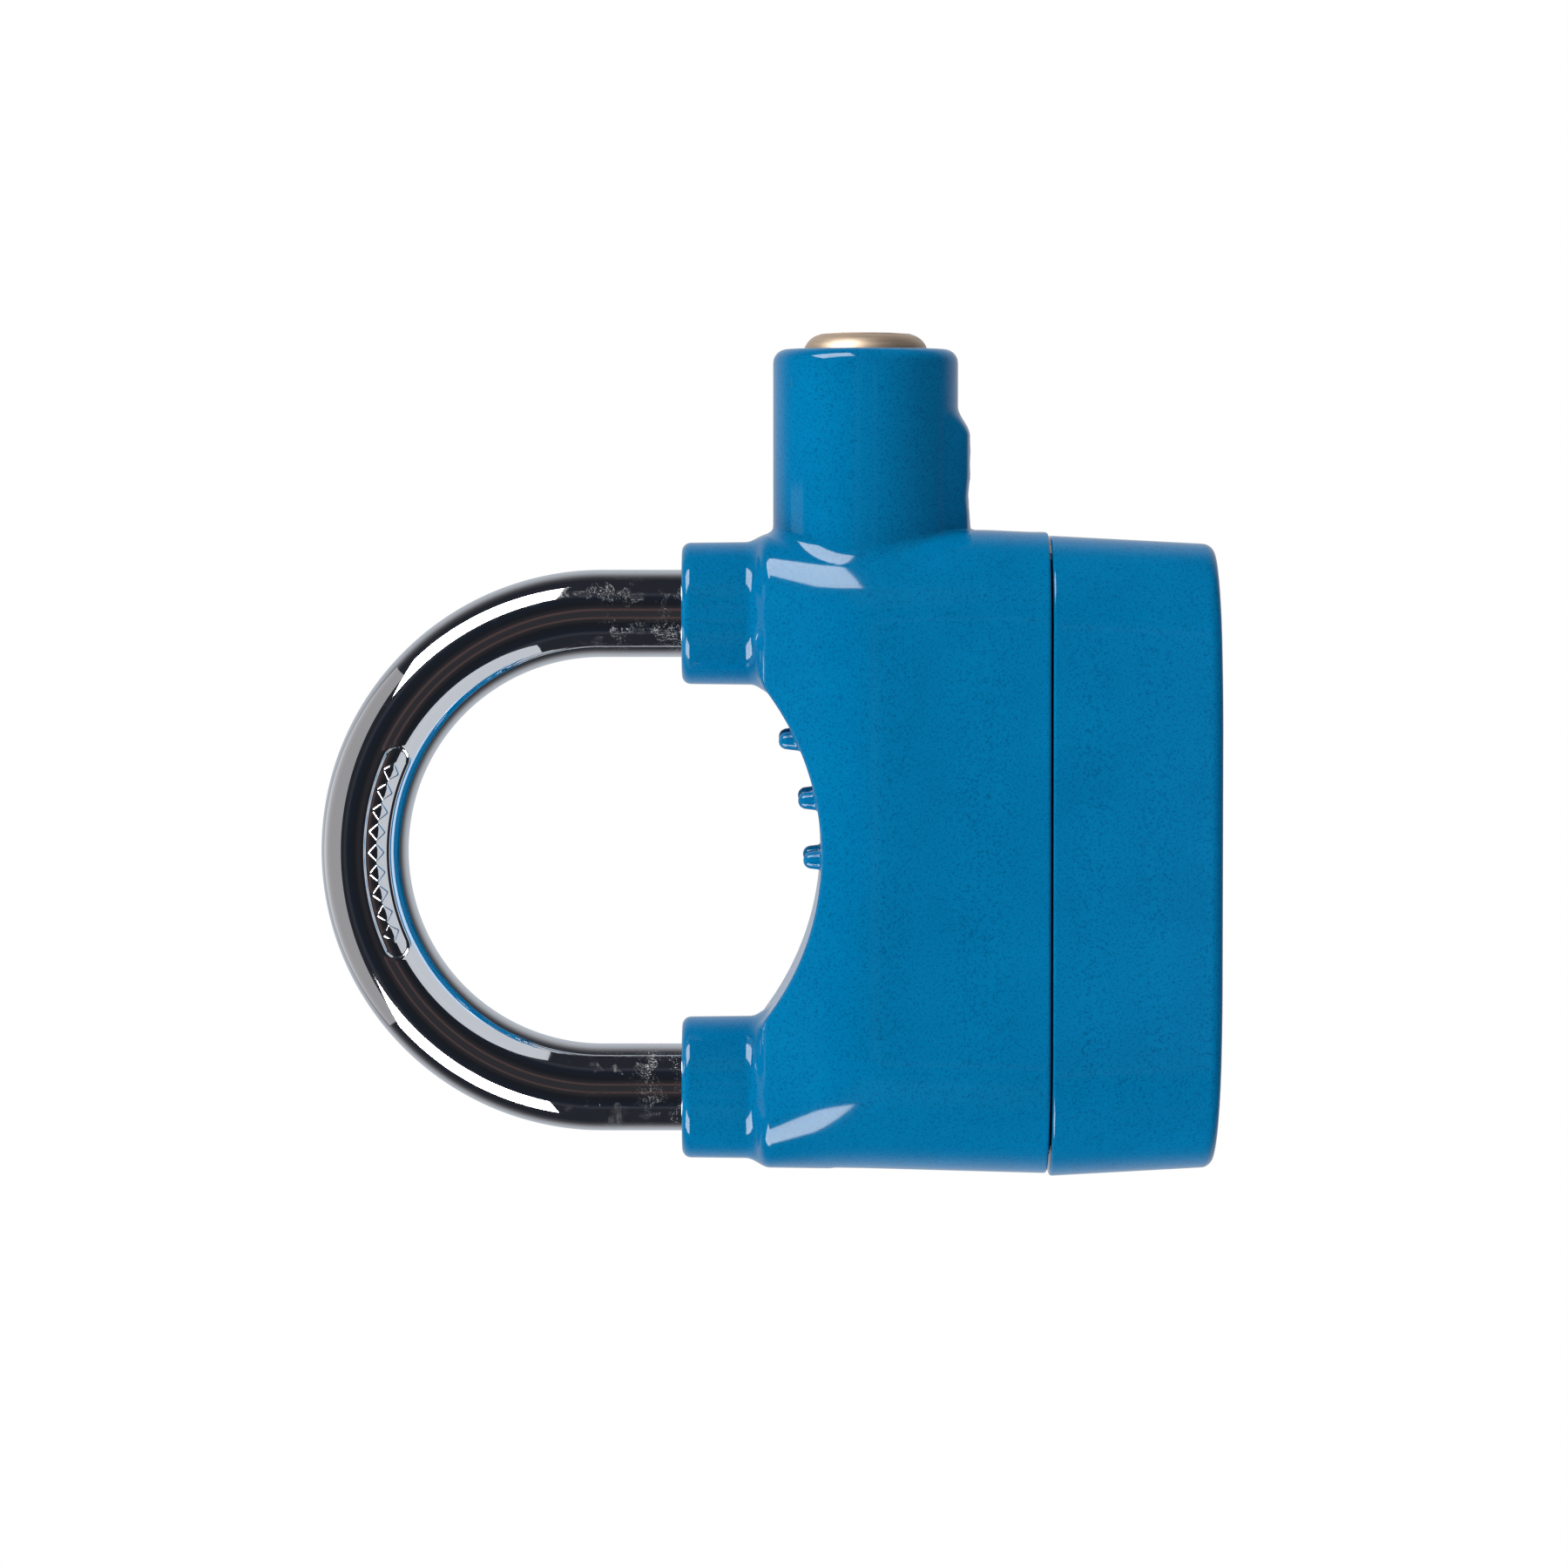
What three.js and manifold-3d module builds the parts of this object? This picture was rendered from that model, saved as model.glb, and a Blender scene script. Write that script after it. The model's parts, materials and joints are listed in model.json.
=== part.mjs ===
// Alarm padlock: a cast case with two collars and a side lock cylinder, a removable shackle,
// and a lower cover that holds the cells and the siren.
// Millimetres. +Z runs up towards the shackle, +X towards the lock cylinder, and -Y is the front.
// The origin is the middle of the flat base.

import * as THREE from "three";
import { mergeVertices } from "three/addons/utils/BufferGeometryUtils.js";
import Module from "manifold-3d";

const wasm = await Module();
wasm.setup();

// ---- Driving dimensions ----

// Clearances
const gap = 0.3; // between pieces that touch
const turningGap = 0.15; // round the key plug
const legGap = 0.3; // round a shackle leg
const past = 1; // how far a cutter or a root runs past the face it meets

// Sides of round pieces
const archSides = 72;
const largeSides = 32;
const roundSides = 24;
const smallSides = 12;

// Case
const caseWidth = 74.1; // at the seam
const caseDepth = 30; // at the seam
const seamHeight = 19.3;
const seamWidth = 0.36; // open line between the case and the cover
const shoulderHeight = 52.4;
const kneeHeight = 37.4; // above it the front and back faces draw in
const kneeBlend = 3; // the bend starts this far below the knee
const sideDraw = 0.85; // each side draws in this much by the shoulder
const kneeDraw = 1; // each face draws in this much by the knee
const shoulderDraw = 5.5; // and this much by the shoulder
const caseCorner = 12.5; // vertical corner radius up to the knee
const shoulderCorner = 6.5; // the same corner at the shoulder
const edgeRadius = 1.2; // shoulder and base edges
const caseWall = 3;
const archDepth = 7; // hollow between the collars, below the shoulder
const archOverlap = 0.4; // of the arch into each collar

// Small posts in the arch
const nubSpacing = 6.8;
const nubFirst = -0.75; // X of the lowest pair
const nubCount = 3;
const nubRow = 7; // Y of each row
const nubRadius = 1.1;
const nubTipRadius = 0.85;
const nubLength = 2;

// Shackle and collars
const rodDiameter = 10;
const legSide = 4.5; // metal between a leg's bore and the side of the case
const bowHeight = 70.5; // where the bow begins
const legEnd = 28.4;
const legChamfer = 1;
const collarWall = 3.1;
const collarTop = 61.3;
const collarRim = 1;
const collarDraft = 0.1;
const sealThickness = 1;
const sealHeight = 1.5;
const sealDepth = 0.9; // below the collar's mouth

// Lock cylinder and its boss
const cylinderHeight = 40.25;
const cylinderDiameter = 14.3;
const cylinderProud = 1.75; // beyond the boss
const cylinderRim = 2.2;
const cylinderWall = 2.1;
const bossWall = 3.45;
const bossLength = 20.45; // beyond the case's side
const bossRim = 1.8;
const humpHeight = 1.4; // bulge under the boss over the pin chambers
const humpWidth = 10;
const humpLength = 12.4;
const humpFoot = 0.5; // its slope ends this far inside the boss
const keywayWidth = 1.3;
const keywayTop = 2.4; // towards the pins
const keywayBottom = 4.1;
const chamberCount = 4;
const chamberPitch = 2.9;
const chamberInset = 1.6; // first chamber, beyond the case's side
const chamberRadius = 1.35;
const pinRadius = 1.05;
const pinTips = [2.2, 1.5, 2.6, 1.9]; // where each key pin ends, from the axis
const driverLength = 2.2;
const springWire = 0.3;
const springTurns = 4;
const chamberPlugLength = 1.2;
const crossPinRadius = 1;
const crossPinInset = 4; // from the boss's end
const tailThickness = 1.3;
const neckLength = 0.9;
const neckRadius = 3.4;
const clipThickness = 0.4;

// Locking plate, driven by a crank pin on the plug
const plateHeight = 32.4;
const plateThickness = 2;
const plateTravel = 1.9;
const plateRail = 3.2; // metal beside each leg opening
const plateWeb = 1.1; // metal past each leg opening
const plateCorner = 4;
const notchDepth = 1.8;
const notchClearance = 0.4; // above and below the plate
const tabThickness = 1;
const tabWidth = 6.5;
const tabRise = 2.6; // above the cylinder's axis
const crankPinRadius = 0.8;
const crankSlotGap = 0.15;

// Frame that closes the mechanism
const frameThickness = 2.2;
const frameScrewRadius = 1.25;
const frameScrewX = 12;
const frameScrewReach = 5.5; // into the case above the plate
const screwHeadRatio = 1.75; // head radius over shaft radius
const screwHeadHeight = 1.4;
const postWall = 0.8;
const postEnd = 21.6;
const coverScrewRadius = 1.5;
const coverScrewSeat = 24.9;
const coverScrewEnd = 7.4;
const coverScrewHead = [2.75, 2.4]; // radius and height

// Circuit board and what is on it
const boardHeight = 21.4;
const boardThickness = 1.6;
const boardDepth = 20;
const boardCorner = 6;
const standoffRadius = 2;
const boardScrewRadius = 0.9;
const boardScrewSpots = [
  [-17, 7.2],
  [14, -7.2],
];
const switchSize = 5.6;
const switchHeight = 3.6;
const plungerRadius = 1.1;
const plungerRise = 1.4; // above the leg's end, which is how far a plain leg would press it
const plungerLength = 4.6;
const sensorRadius = 2.3;
const sensorSpan = [-12, -3]; // along X
const sensorY = 5;
const coilRadius = 3.4;
const coilHeight = 5.6;
const coilSpot = [2, 3];
const chipSpanX = [-6, -1];
const chipSpanY = [-7, -2];
const chipHeight = 1.1;

// Lower cover
const coverNarrower = 0.65; // than the case, at the seam
const coverShift = -0.55; // it sits a little away from the cylinder's side
const coverBaseDraw = 1; // each side draws in this much by the base
const coverFaceDraw = 0.6;
const coverWall = 2.6;
const coverBossRadius = 3.4;
const hookWidth = 6;
const hookThickness = 1.1;
const hookNose = 1.2; // height of the nose
const hookReach = 1; // of the nose into the case's wall
const hookFoot = 2.4; // height of the foot on the cover's wall
const gasketThickness = 1;
const gasketHalfHeight = 1.7;
const soundHoleRadius = 0.9;
const soundHoleRing = 3.5;
const soundHoleCount = 6;

// Cells and siren
const cellDiameter = 11.6;
const cellThickness = 5.2;
const cellStep = [0.8, 0.6]; // how far the cap is in from the side, and its height
const cellsPerStack = 3;
const stackCount = 2;
const trayWall = 1.2;
const trayCorner = 4;
const contactThickness = 0.4;
const sirenRadius = 7.1;
const sirenDepth = 9.4;
const sirenWall = 1;
const discThickness = 0.6;
const discInset = 2; // behind the mouth of the siren's case

// ---- Derived places ----

const caseHalf = caseWidth / 2;
const rodRadius = rodDiameter / 2;
const boreRadius = rodRadius + legGap;
const legX = caseHalf - legSide - boreRadius;
const collarRadius = rodRadius + collarWall;

const archChord = legX - collarRadius + archOverlap; // half the arch's width at the shoulder
const archRadius = (archChord ** 2 + archDepth ** 2) / (2 * archDepth);
const archCentre = shoulderHeight - archDepth + archRadius;

const shellRadius = cylinderDiameter / 2;
const plugRadius = shellRadius - cylinderWall - turningGap;
const bossRadius = shellRadius + bossWall;
const bossEnd = caseHalf + bossLength;
const shellEnd = bossEnd + cylinderProud;

const apertureHalf = rodRadius + legGap;
const plateTop = plateHeight + plateThickness;
const plateHalfDepth = apertureHalf + plateRail;
const plateRestY = -plateTravel / 2;
const crankRadius = plateTravel / Math.SQRT2;

const tabInner = legX + boreRadius + gap / 2;
const tabOuter = tabInner + tabThickness;
const plateHalfLength = Math.max(legX + apertureHalf + plateWeb, tabOuter);
const tailInner = tabOuter + 3 * gap;
const neckInner = tailInner + tailThickness;
const plugInner = neckInner + neckLength;
const shellInner = plugInner + gap / 2;
const bossRoot = legX + boreRadius + past;

const frameTop = plateHeight - gap;
const frameBottom = frameTop - frameThickness;
const boardTop = boardHeight + boardThickness;
const screwPost = boreRadius + gap + postWall;

const coverWidth = caseWidth - coverNarrower;
const coverTop = seamHeight - seamWidth / 2;
const caseBottom = seamHeight + seamWidth / 2;
const coverFloor = coverWall;

// The gasket lines both walls, so the narrower of the two openings sets each of its sides.
const gasketLeft = Math.max(-caseHalf + caseWall, coverShift - coverWidth / 2 + coverWall) + gap;
const gasketRight = Math.min(caseHalf - caseWall, coverShift + coverWidth / 2 - coverWall) - gap;
const gasketInset = Math.max(caseWall, coverWall) + gap;
const hookOuter = gasketLeft + gasketThickness + gap;
const hookInner = hookOuter + hookThickness;
const gasketBottom = seamHeight - gasketHalfHeight;
const gasketTop = seamHeight + gasketHalfHeight;
const hookSeat = gasketTop + 2 * gap;
const boardStart = hookInner + gap;
const boardEnd = legX - screwPost - 3 * gap;

const cellRadius = cellDiameter / 2;
const bayWidth = cellDiameter + gap;
const stackPitch = bayWidth + trayWall / 2 + gap;
const stackHalf = (cellsPerStack * (cellThickness + gap) - gap) / 2;
const bayHalf = stackHalf + 2 * gap + contactThickness;
const trayStart = hookInner + gap;
const trayEnd = trayStart + 2 * trayWall + bayWidth + stackPitch;
const trayFloor = coverFloor + gap;
const cellBottom = trayFloor + trayWall + gap;
const cellHeight = cellBottom + cellRadius;
const bridgeBottom = cellHeight - cellRadius / 2;
const stackX = Array.from(
  { length: stackCount },
  (_, i) => trayStart + trayWall + bayWidth / 2 + i * stackPitch,
);

const sirenX = (trayEnd + legX - coverBossRadius) / 2;
const sirenHeight = coverFloor + gap + sirenRadius;
const sirenBack = caseDepth / 2 - coverFaceDraw - coverWall - gap;

const chamberX = Array.from(
  { length: chamberCount },
  (_, i) => caseHalf + chamberInset + i * chamberPitch,
);

// ---- Solids ----

const lerp = THREE.MathUtils.lerp;
const smoothstep = THREE.MathUtils.smoothstep;

// A closed geometry as a solid that can be joined and cut.
function solid(geometry) {
  const bare = geometry.clone();
  bare.deleteAttribute("normal");
  bare.deleteAttribute("uv");
  const merged = mergeVertices(bare, 1e-4);
  const corners = merged.index.array;
  const kept = [];
  for (let i = 0; i < corners.length; i += 3) {
    const [a, b, c] = corners.slice(i, i + 3);
    if (a !== b && b !== c && c !== a) kept.push(a, b, c);
  }
  return new wasm.Manifold(
    new wasm.Mesh({
      numProp: 3,
      vertProperties: new Float32Array(merged.attributes.position.array),
      triVerts: new Uint32Array(kept),
    }),
  );
}

function joined(...pieces) {
  return pieces.reduce((whole, piece) => whole.add(piece));
}

function cut(whole, ...tools) {
  return tools.reduce((left, tool) => left.subtract(tool), whole);
}

function block([x0, x1], [y0, y1], [z0, z1]) {
  const box = new THREE.BoxGeometry(x1 - x0, y1 - y0, z1 - z0);
  return solid(box.translate((x0 + x1) / 2, (y0 + y1) / 2, (z0 + z1) / 2));
}

// A geometry made along +Z from the origin, turned so that it runs along the named axis.
function aimed(geometry, axis) {
  if (axis === "x") return geometry.rotateY(Math.PI / 2);
  if (axis === "y") return geometry.rotateX(-Math.PI / 2);
  return geometry;
}

// A solid of revolution from [radius, distance] points along an axis. It starts and ends on the axis.
function turned(profile, axis, [x, y, z], sides = 24) {
  const points = profile.map(([radius, distance]) => new THREE.Vector2(radius, distance));
  const lathe = new THREE.LatheGeometry(points, sides).rotateX(Math.PI / 2);
  return solid(aimed(lathe, axis).translate(x, y, z));
}

// A round bar from one distance to another along an axis.
function bar(radius, [from, to], axis, [x, y, z], sides = 24) {
  const profile = [
    [0, from],
    [radius, from],
    [radius, to],
    [0, to],
  ];
  return turned(profile, axis, [x, y, z], sides);
}

// A rounded rectangle's outline in XY, anticlockwise.
function outline({ x = 0, y = 0, halfWidth, halfDepth, corner }, steps = 5) {
  const points = [];
  const centres = [
    [halfWidth - corner, halfDepth - corner],
    [corner - halfWidth, halfDepth - corner],
    [corner - halfWidth, corner - halfDepth],
    [halfWidth - corner, corner - halfDepth],
  ];
  centres.forEach(([cx, cy], quarter) => {
    for (let i = 0; i <= steps; i += 1) {
      const angle = (quarter + i / steps) * (Math.PI / 2);
      points.push([x + cx + corner * Math.cos(angle), y + cy + corner * Math.sin(angle)]);
    }
  });
  return points;
}

// A solid skinned over rings of equally many points, closed by a flat fan at each end.
function skinned(rings) {
  const count = rings[0].length;
  const middle = (ring) => ring.reduce((sum, p) => sum.add(p), new THREE.Vector3()).divideScalar(count);
  const points = [...rings.flat(), middle(rings[0]), middle(rings.at(-1))];
  const first = points.length - 2;
  const last = points.length - 1;
  const top = (rings.length - 1) * count;
  const index = [];
  for (let i = 0; i < count; i += 1) {
    const next = (i + 1) % count;
    index.push(first, next, i, last, top + i, top + next);
    for (let ring = 0; ring < top; ring += count) {
      index.push(ring + i, ring + next, ring + count + next);
      index.push(ring + i, ring + count + next, ring + count + i);
    }
  }
  const geometry = new THREE.BufferGeometry().setFromPoints(points);
  geometry.setIndex(index);
  return solid(geometry);
}

function ringAt(section, z) {
  return outline(section).map(([x, y]) => new THREE.Vector3(x, y, z));
}

// A straight-sided slab with a rounded outline.
function slab(section, [z0, z1]) {
  return skinned([ringAt(section, z0), ringAt(section, z1)]);
}

// ---- Outer forms ----

// The case's section at a height. inset moves it inwards all round.
function caseSection(z, inset = 0) {
  const rise = (z - seamHeight) / (shoulderHeight - seamHeight);
  const low = Math.min((z - seamHeight) / (kneeHeight - seamHeight), 1);
  const high = smoothstep(z, kneeHeight - kneeBlend, shoulderHeight);
  return {
    halfWidth: caseHalf - sideDraw * rise - inset,
    halfDepth: caseDepth / 2 - kneeDraw * low - (shoulderDraw - kneeDraw) * high - inset,
    corner: Math.max(lerp(caseCorner, shoulderCorner, high) - inset, 1),
  };
}

// The cover's section at a height. It is widest at the seam.
function coverSection(z, inset = 0) {
  const drop = 1 - z / seamHeight;
  return {
    x: coverShift,
    halfWidth: coverWidth / 2 - coverBaseDraw * drop - inset,
    halfDepth: caseDepth / 2 - coverFaceDraw * drop - inset,
    corner: caseCorner - inset,
  };
}

// Quarter-round steps for an edge: [distance in from the side, distance back from the end].
function edgeSteps(radius, count = 3) {
  return Array.from({ length: count + 1 }, (_, i) => {
    const angle = (i / count) * (Math.PI / 2);
    return [radius * (1 - Math.cos(angle)), radius * (1 - Math.sin(angle))];
  });
}

function caseBlock() {
  const levels = [caseBottom, (caseBottom + kneeHeight) / 2];
  for (let z = kneeHeight - kneeBlend; z < shoulderHeight - edgeRadius; z += kneeBlend) levels.push(z);
  const rings = levels.map((z) => ringAt(caseSection(z), z));
  for (const [inset, back] of edgeSteps(edgeRadius)) {
    const z = shoulderHeight - back;
    rings.push(ringAt(caseSection(z, inset), z));
  }
  return skinned(rings);
}

function collar(x) {
  const root = shoulderHeight - archDepth;
  const rim = edgeSteps(collarRim).map(([inset, back]) => [collarRadius - inset, collarTop - back]);
  const profile = [[0, root], [collarRadius + 2 * collarDraft, root], ...rim, [0, collarTop]];
  return turned(profile, "z", [x, 0, 0]);
}

function boss() {
  const rim = edgeSteps(bossRim).map(([inset, back]) => [bossRadius - inset, bossEnd - back]);
  const profile = [[0, bossRoot], [bossRadius, bossRoot], ...rim, [0, bossEnd]];
  return turned(profile, "x", [0, 0, cylinderHeight], largeSides);
}

function hump() {
  const humpEnd = caseHalf + humpLength;
  const radius = bossRadius + humpHeight;
  const profile = [
    [0, bossRoot],
    [radius, bossRoot],
    [radius, humpEnd - humpHeight],
    [bossRadius - humpFoot, humpEnd + humpHeight],
    [0, humpEnd + humpHeight],
  ];
  const round = turned(profile, "x", [0, 0, cylinderHeight], largeSides);
  const half = humpWidth / 2;
  const keep = block([bossRoot, bossEnd], [-half, half], [0, cylinderHeight]);
  return round.intersect(keep);
}

function archCutter() {
  return bar(archRadius, [-caseDepth, caseDepth], "y", [0, 0, archCentre], archSides);
}

function nub(x, y) {
  const base = archCentre - Math.sqrt(archRadius ** 2 - x ** 2);
  const profile = [
    [0, -past],
    [nubRadius, -past],
    [nubTipRadius, nubLength - nubTipRadius / 2],
    [nubTipRadius / 2, nubLength],
    [0, nubLength],
  ];
  return turned(profile, "z", [x, y, base], smallSides);
}

// ---- Materials ----

function finish(color, roughness, metalness) {
  return new THREE.MeshStandardMaterial({ color, roughness, metalness });
}

const paint = finish(0x036ba1, 0.3, 0.1);
const chrome = finish(0xd8d8d6, 0.08, 1);
const brass = finish(0xc9a774, 0.25, 1);
const steel = finish(0x9a9c9e, 0.35, 1);
const zinc = finish(0x8d9094, 0.5, 0.8);
const rubber = finish(0x1b1b1c, 0.8, 0);
const blackPlastic = finish(0x202124, 0.5, 0);
const board = finish(0x1f5a35, 0.5, 0);
const nickel = finish(0xc6c6c2, 0.25, 1);
const whitePlastic = finish(0xd9d7cf, 0.5, 0);

const padlock = new THREE.Group();

function addPiece(name, shape, material) {
  const { vertProperties, triVerts } = shape.getMesh();
  const geometry = new THREE.BufferGeometry();
  geometry.setAttribute("position", new THREE.BufferAttribute(vertProperties, 3));
  geometry.setIndex(new THREE.BufferAttribute(triVerts, 1));
  geometry.computeVertexNormals();
  const mesh = new THREE.Mesh(geometry, material);
  mesh.name = name;
  padlock.add(mesh);
}

// ---- Case ----

function legBores() {
  const grooveTop = collarTop - sealDepth + gap;
  const grooveBottom = collarTop - sealDepth - sealHeight - gap;
  return [-legX, legX].flatMap((x) => [
    bar(boreRadius, [frameBottom, collarTop + past], "z", [x, 0, 0]),
    bar(boreRadius + sealThickness + gap, [grooveBottom, grooveTop], "z", [x, 0, 0]),
  ]);
}

// The round bore for the cylinder, its narrower tail room, and the pin chambers below it.
function cylinderRoom() {
  const at = [0, 0, cylinderHeight];
  const chambers = chamberX.map((x) =>
    bar(chamberRadius, [-bossRadius - humpHeight - past, 0], "z", [x, 0, cylinderHeight], smallSides),
  );
  const crossPinX = bossEnd - crossPinInset;
  const pinRoom = bar(
    crossPinRadius + gap,
    [-crossPinHalf() - gap, bossRadius],
    "y",
    [crossPinX, 0, cylinderHeight + shellRadius],
    smallSides,
  );
  return joined(
    bar(shellRadius + gap, [shellInner - gap, bossEnd + past], "x", at),
    bar(shellRadius - 2 * gap, [tabOuter + gap, shellInner], "x", at),
    pinRoom,
    ...chambers,
  );
}

// Half the cross pin's length, so that both its ends stay inside the boss.
function crossPinHalf() {
  return Math.sqrt(bossRadius ** 2 - (shellRadius + crossPinRadius + gap) ** 2) - 2 * gap;
}

// Room for the locking plate and its tab, over the wider pocket that the frame closes.
function mechanismRoom() {
  const plateRoom = slab(
    {
      halfWidth: plateHalfLength + gap,
      halfDepth: plateHalfDepth + plateTravel / 2 + gap,
      corner: plateCorner + gap,
    },
    [frameTop - past, plateTop + gap],
  );
  const tabRoomHalf = (tabWidth + plateTravel) / 2 + 2 * gap;
  const tabRoom = block(
    [tabInner - gap, tabOuter + 2 * gap],
    [-tabRoomHalf, tabRoomHalf],
    [plateHeight, cylinderHeight + tabRise + gap],
  );
  const frameRoom = slab(caseSection(seamHeight, caseWall), [0, frameTop + gap]);
  const screwEnd = plateTop + frameScrewReach + 2 * gap;
  const screwRooms = [-frameScrewX, frameScrewX].map((x) =>
    bar(frameScrewRadius + gap, [plateTop, screwEnd], "z", [x, 0, 0], smallSides),
  );
  return joined(plateRoom, tabRoom, frameRoom, ...screwRooms);
}

function hookRoom() {
  const half = hookWidth / 2 + gap;
  const across = [-caseHalf + caseWall - hookReach - gap, -legX];
  return block(across, [-half, half], [hookSeat - gap, hookSeat + hookNose + gap]);
}

function makeUpperCase() {
  const arched = caseBlock().subtract(archCutter());
  const nubs = [];
  for (let i = 0; i < nubCount; i += 1) {
    const x = nubFirst + i * nubSpacing;
    nubs.push(nub(x, -nubRow), nub(x, nubRow));
  }
  const outside = joined(arched, collar(-legX), collar(legX), boss(), hump(), ...nubs);
  return cut(outside, ...legBores(), cylinderRoom(), mechanismRoom(), hookRoom());
}

function makeLowerCover() {
  const rings = edgeSteps(edgeRadius)
    .reverse()
    .map(([inset, back]) => ringAt(coverSection(back, inset), back));
  const outside = skinned([...rings, ringAt(coverSection(coverTop), coverTop)]);
  const hollow = skinned(
    [coverFloor, seamHeight + past].map((z) => ringAt(coverSection(z, coverWall), z)),
  );
  const screwBoss = bar(coverBossRadius, [coverFloor - past, postEnd - gap], "z", [legX, 0, 0]);
  const screwSpan = [coverScrewEnd - 2 * gap, postEnd];
  const screwRoom = bar(coverScrewRadius + gap, screwSpan, "z", [legX, 0, 0], smallSides);
  const soundHole = (x, z) => bar(soundHoleRadius, [0, caseDepth], "y", [x, 0, z], smallSides);
  const soundHoles = [soundHole(sirenX, sirenHeight)];
  for (let i = 0; i < soundHoleCount; i += 1) {
    const angle = (i / soundHoleCount) * 2 * Math.PI;
    const x = sirenX + soundHoleRing * Math.cos(angle);
    soundHoles.push(soundHole(x, sirenHeight + soundHoleRing * Math.sin(angle)));
  }
  return cut(joined(cut(outside, hollow, ...soundHoles), screwBoss, coverHook()), screwRoom);
}

// A hook inside the cover's far end: a foot on the wall, a stem and a nose over the case's ledge.
function coverHook() {
  const half = hookWidth / 2;
  const side = coverShift - coverWidth / 2 + coverWall;
  const footTop = gasketBottom - gap;
  const noseEnd = -caseHalf + caseWall - hookReach;
  return joined(
    block([side - coverWall / 2, hookInner], [-half, half], [footTop - hookFoot, footTop]),
    block([hookOuter, hookInner], [-half, half], [footTop - hookFoot, hookSeat + hookNose]),
    block([noseEnd, hookInner], [-half, half], [hookSeat, hookSeat + hookNose]),
  );
}

function makeGasket() {
  const span = [gasketBottom, gasketTop];
  const section = (inset) => ({
    x: (gasketLeft + gasketRight) / 2,
    halfWidth: (gasketRight - gasketLeft) / 2 - inset,
    halfDepth: caseDepth / 2 - gasketInset - inset,
    corner: caseCorner - gasketInset - inset,
  });
  const through = [span[0] - past, span[1] + past];
  return slab(section(0), span).subtract(slab(section(gasketThickness), through));
}

function ring(inner, outer, span, axis, at) {
  const through = [span[0] - past, span[1] + past];
  return bar(outer, span, axis, at).subtract(bar(inner, through, axis, at));
}

function makeSeal(x) {
  const top = collarTop - sealDepth;
  const span = [top - sealHeight, top];
  return ring(rodRadius + turningGap, boreRadius + sealThickness, span, "z", [x, 0, 0]);
}

// A screw with a round slotted head. It lies along Z with its head at the named end.
function screw(radius, [headRadius, headHeight], [tip, seat], [x, y]) {
  const up = Math.sign(seat - tip);
  const headEnd = seat + up * headHeight;
  const span = (a, b) => [Math.min(a, b), Math.max(a, b)];
  const shape = joined(
    bar(radius, span(tip, seat + (up * headHeight) / 4), "z", [x, y, 0], smallSides),
    bar(headRadius, span(seat, headEnd), "z", [x, y, 0]),
  );
  const slotDepth = headHeight / 2;
  const slot = block(
    [x - headRadius - past, x + headRadius + past],
    [y - radius / 4, y + radius / 4],
    span(headEnd - up * slotDepth, headEnd + up * past),
  );
  return shape.subtract(slot);
}

addPiece("upper_case", makeUpperCase(), paint);
addPiece("lower_cover", makeLowerCover(), paint);
addPiece("cover_gasket", makeGasket(), rubber);
addPiece("collar_seal_left", makeSeal(-legX), rubber);
addPiece("collar_seal_right", makeSeal(legX), rubber);
addPiece(
  "cover_screw",
  screw(coverScrewRadius, coverScrewHead, [coverScrewEnd, coverScrewSeat + gap], [legX, 0]),
  steel,
);

// ---- Shackle ----

function makeShackle() {
  const rodRing = (radius, place, along) => {
    const points = [];
    for (let i = 0; i < roundSides; i += 1) {
      const angle = (i / roundSides) * 2 * Math.PI;
      const out = radius * Math.cos(angle);
      const depth = radius * Math.sin(angle);
      points.push(new THREE.Vector3(place.x + out * along.x, depth, place.y + out * along.y));
    }
    return points;
  };
  const legRing = (radius, x, z) => {
    return rodRing(radius, new THREE.Vector2(x, z), new THREE.Vector2(Math.sign(x), 0));
  };
  const rings = [
    legRing(rodRadius - legChamfer, legX, legEnd),
    legRing(rodRadius, legX, legEnd + legChamfer),
  ];
  const bowSteps = 22;
  for (let i = 0; i <= bowSteps; i += 1) {
    const angle = (i / bowSteps) * Math.PI;
    const along = new THREE.Vector2(Math.cos(angle), Math.sin(angle));
    const place = new THREE.Vector2(legX * along.x, bowHeight + legX * along.y);
    rings.push(rodRing(rodRadius, place, along));
  }
  rings.push(legRing(rodRadius, -legX, legEnd + legChamfer));
  rings.push(legRing(rodRadius - legChamfer, -legX, legEnd));
  const notchSpan = [plateHeight - notchClearance, plateTop + notchClearance];
  const flat = rodRadius - notchDepth;
  const notches = [-legX, legX].flatMap((x) => [
    block([x - rodRadius - past, x + rodRadius + past], [flat, rodRadius + past], notchSpan),
    block([x - rodRadius - past, x + rodRadius + past], [-rodRadius - past, -flat], notchSpan),
  ]);
  const plungerRoom = bar(
    plungerRadius + 3 * gap,
    [legEnd - past, legEnd + plungerRise + 2 * gap],
    "z",
    [-legX, 0, 0],
    smallSides,
  );
  return cut(skinned(rings), ...notches, plungerRoom);
}

addPiece("shackle", makeShackle(), chrome);

// ---- Lock cylinder ----

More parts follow.
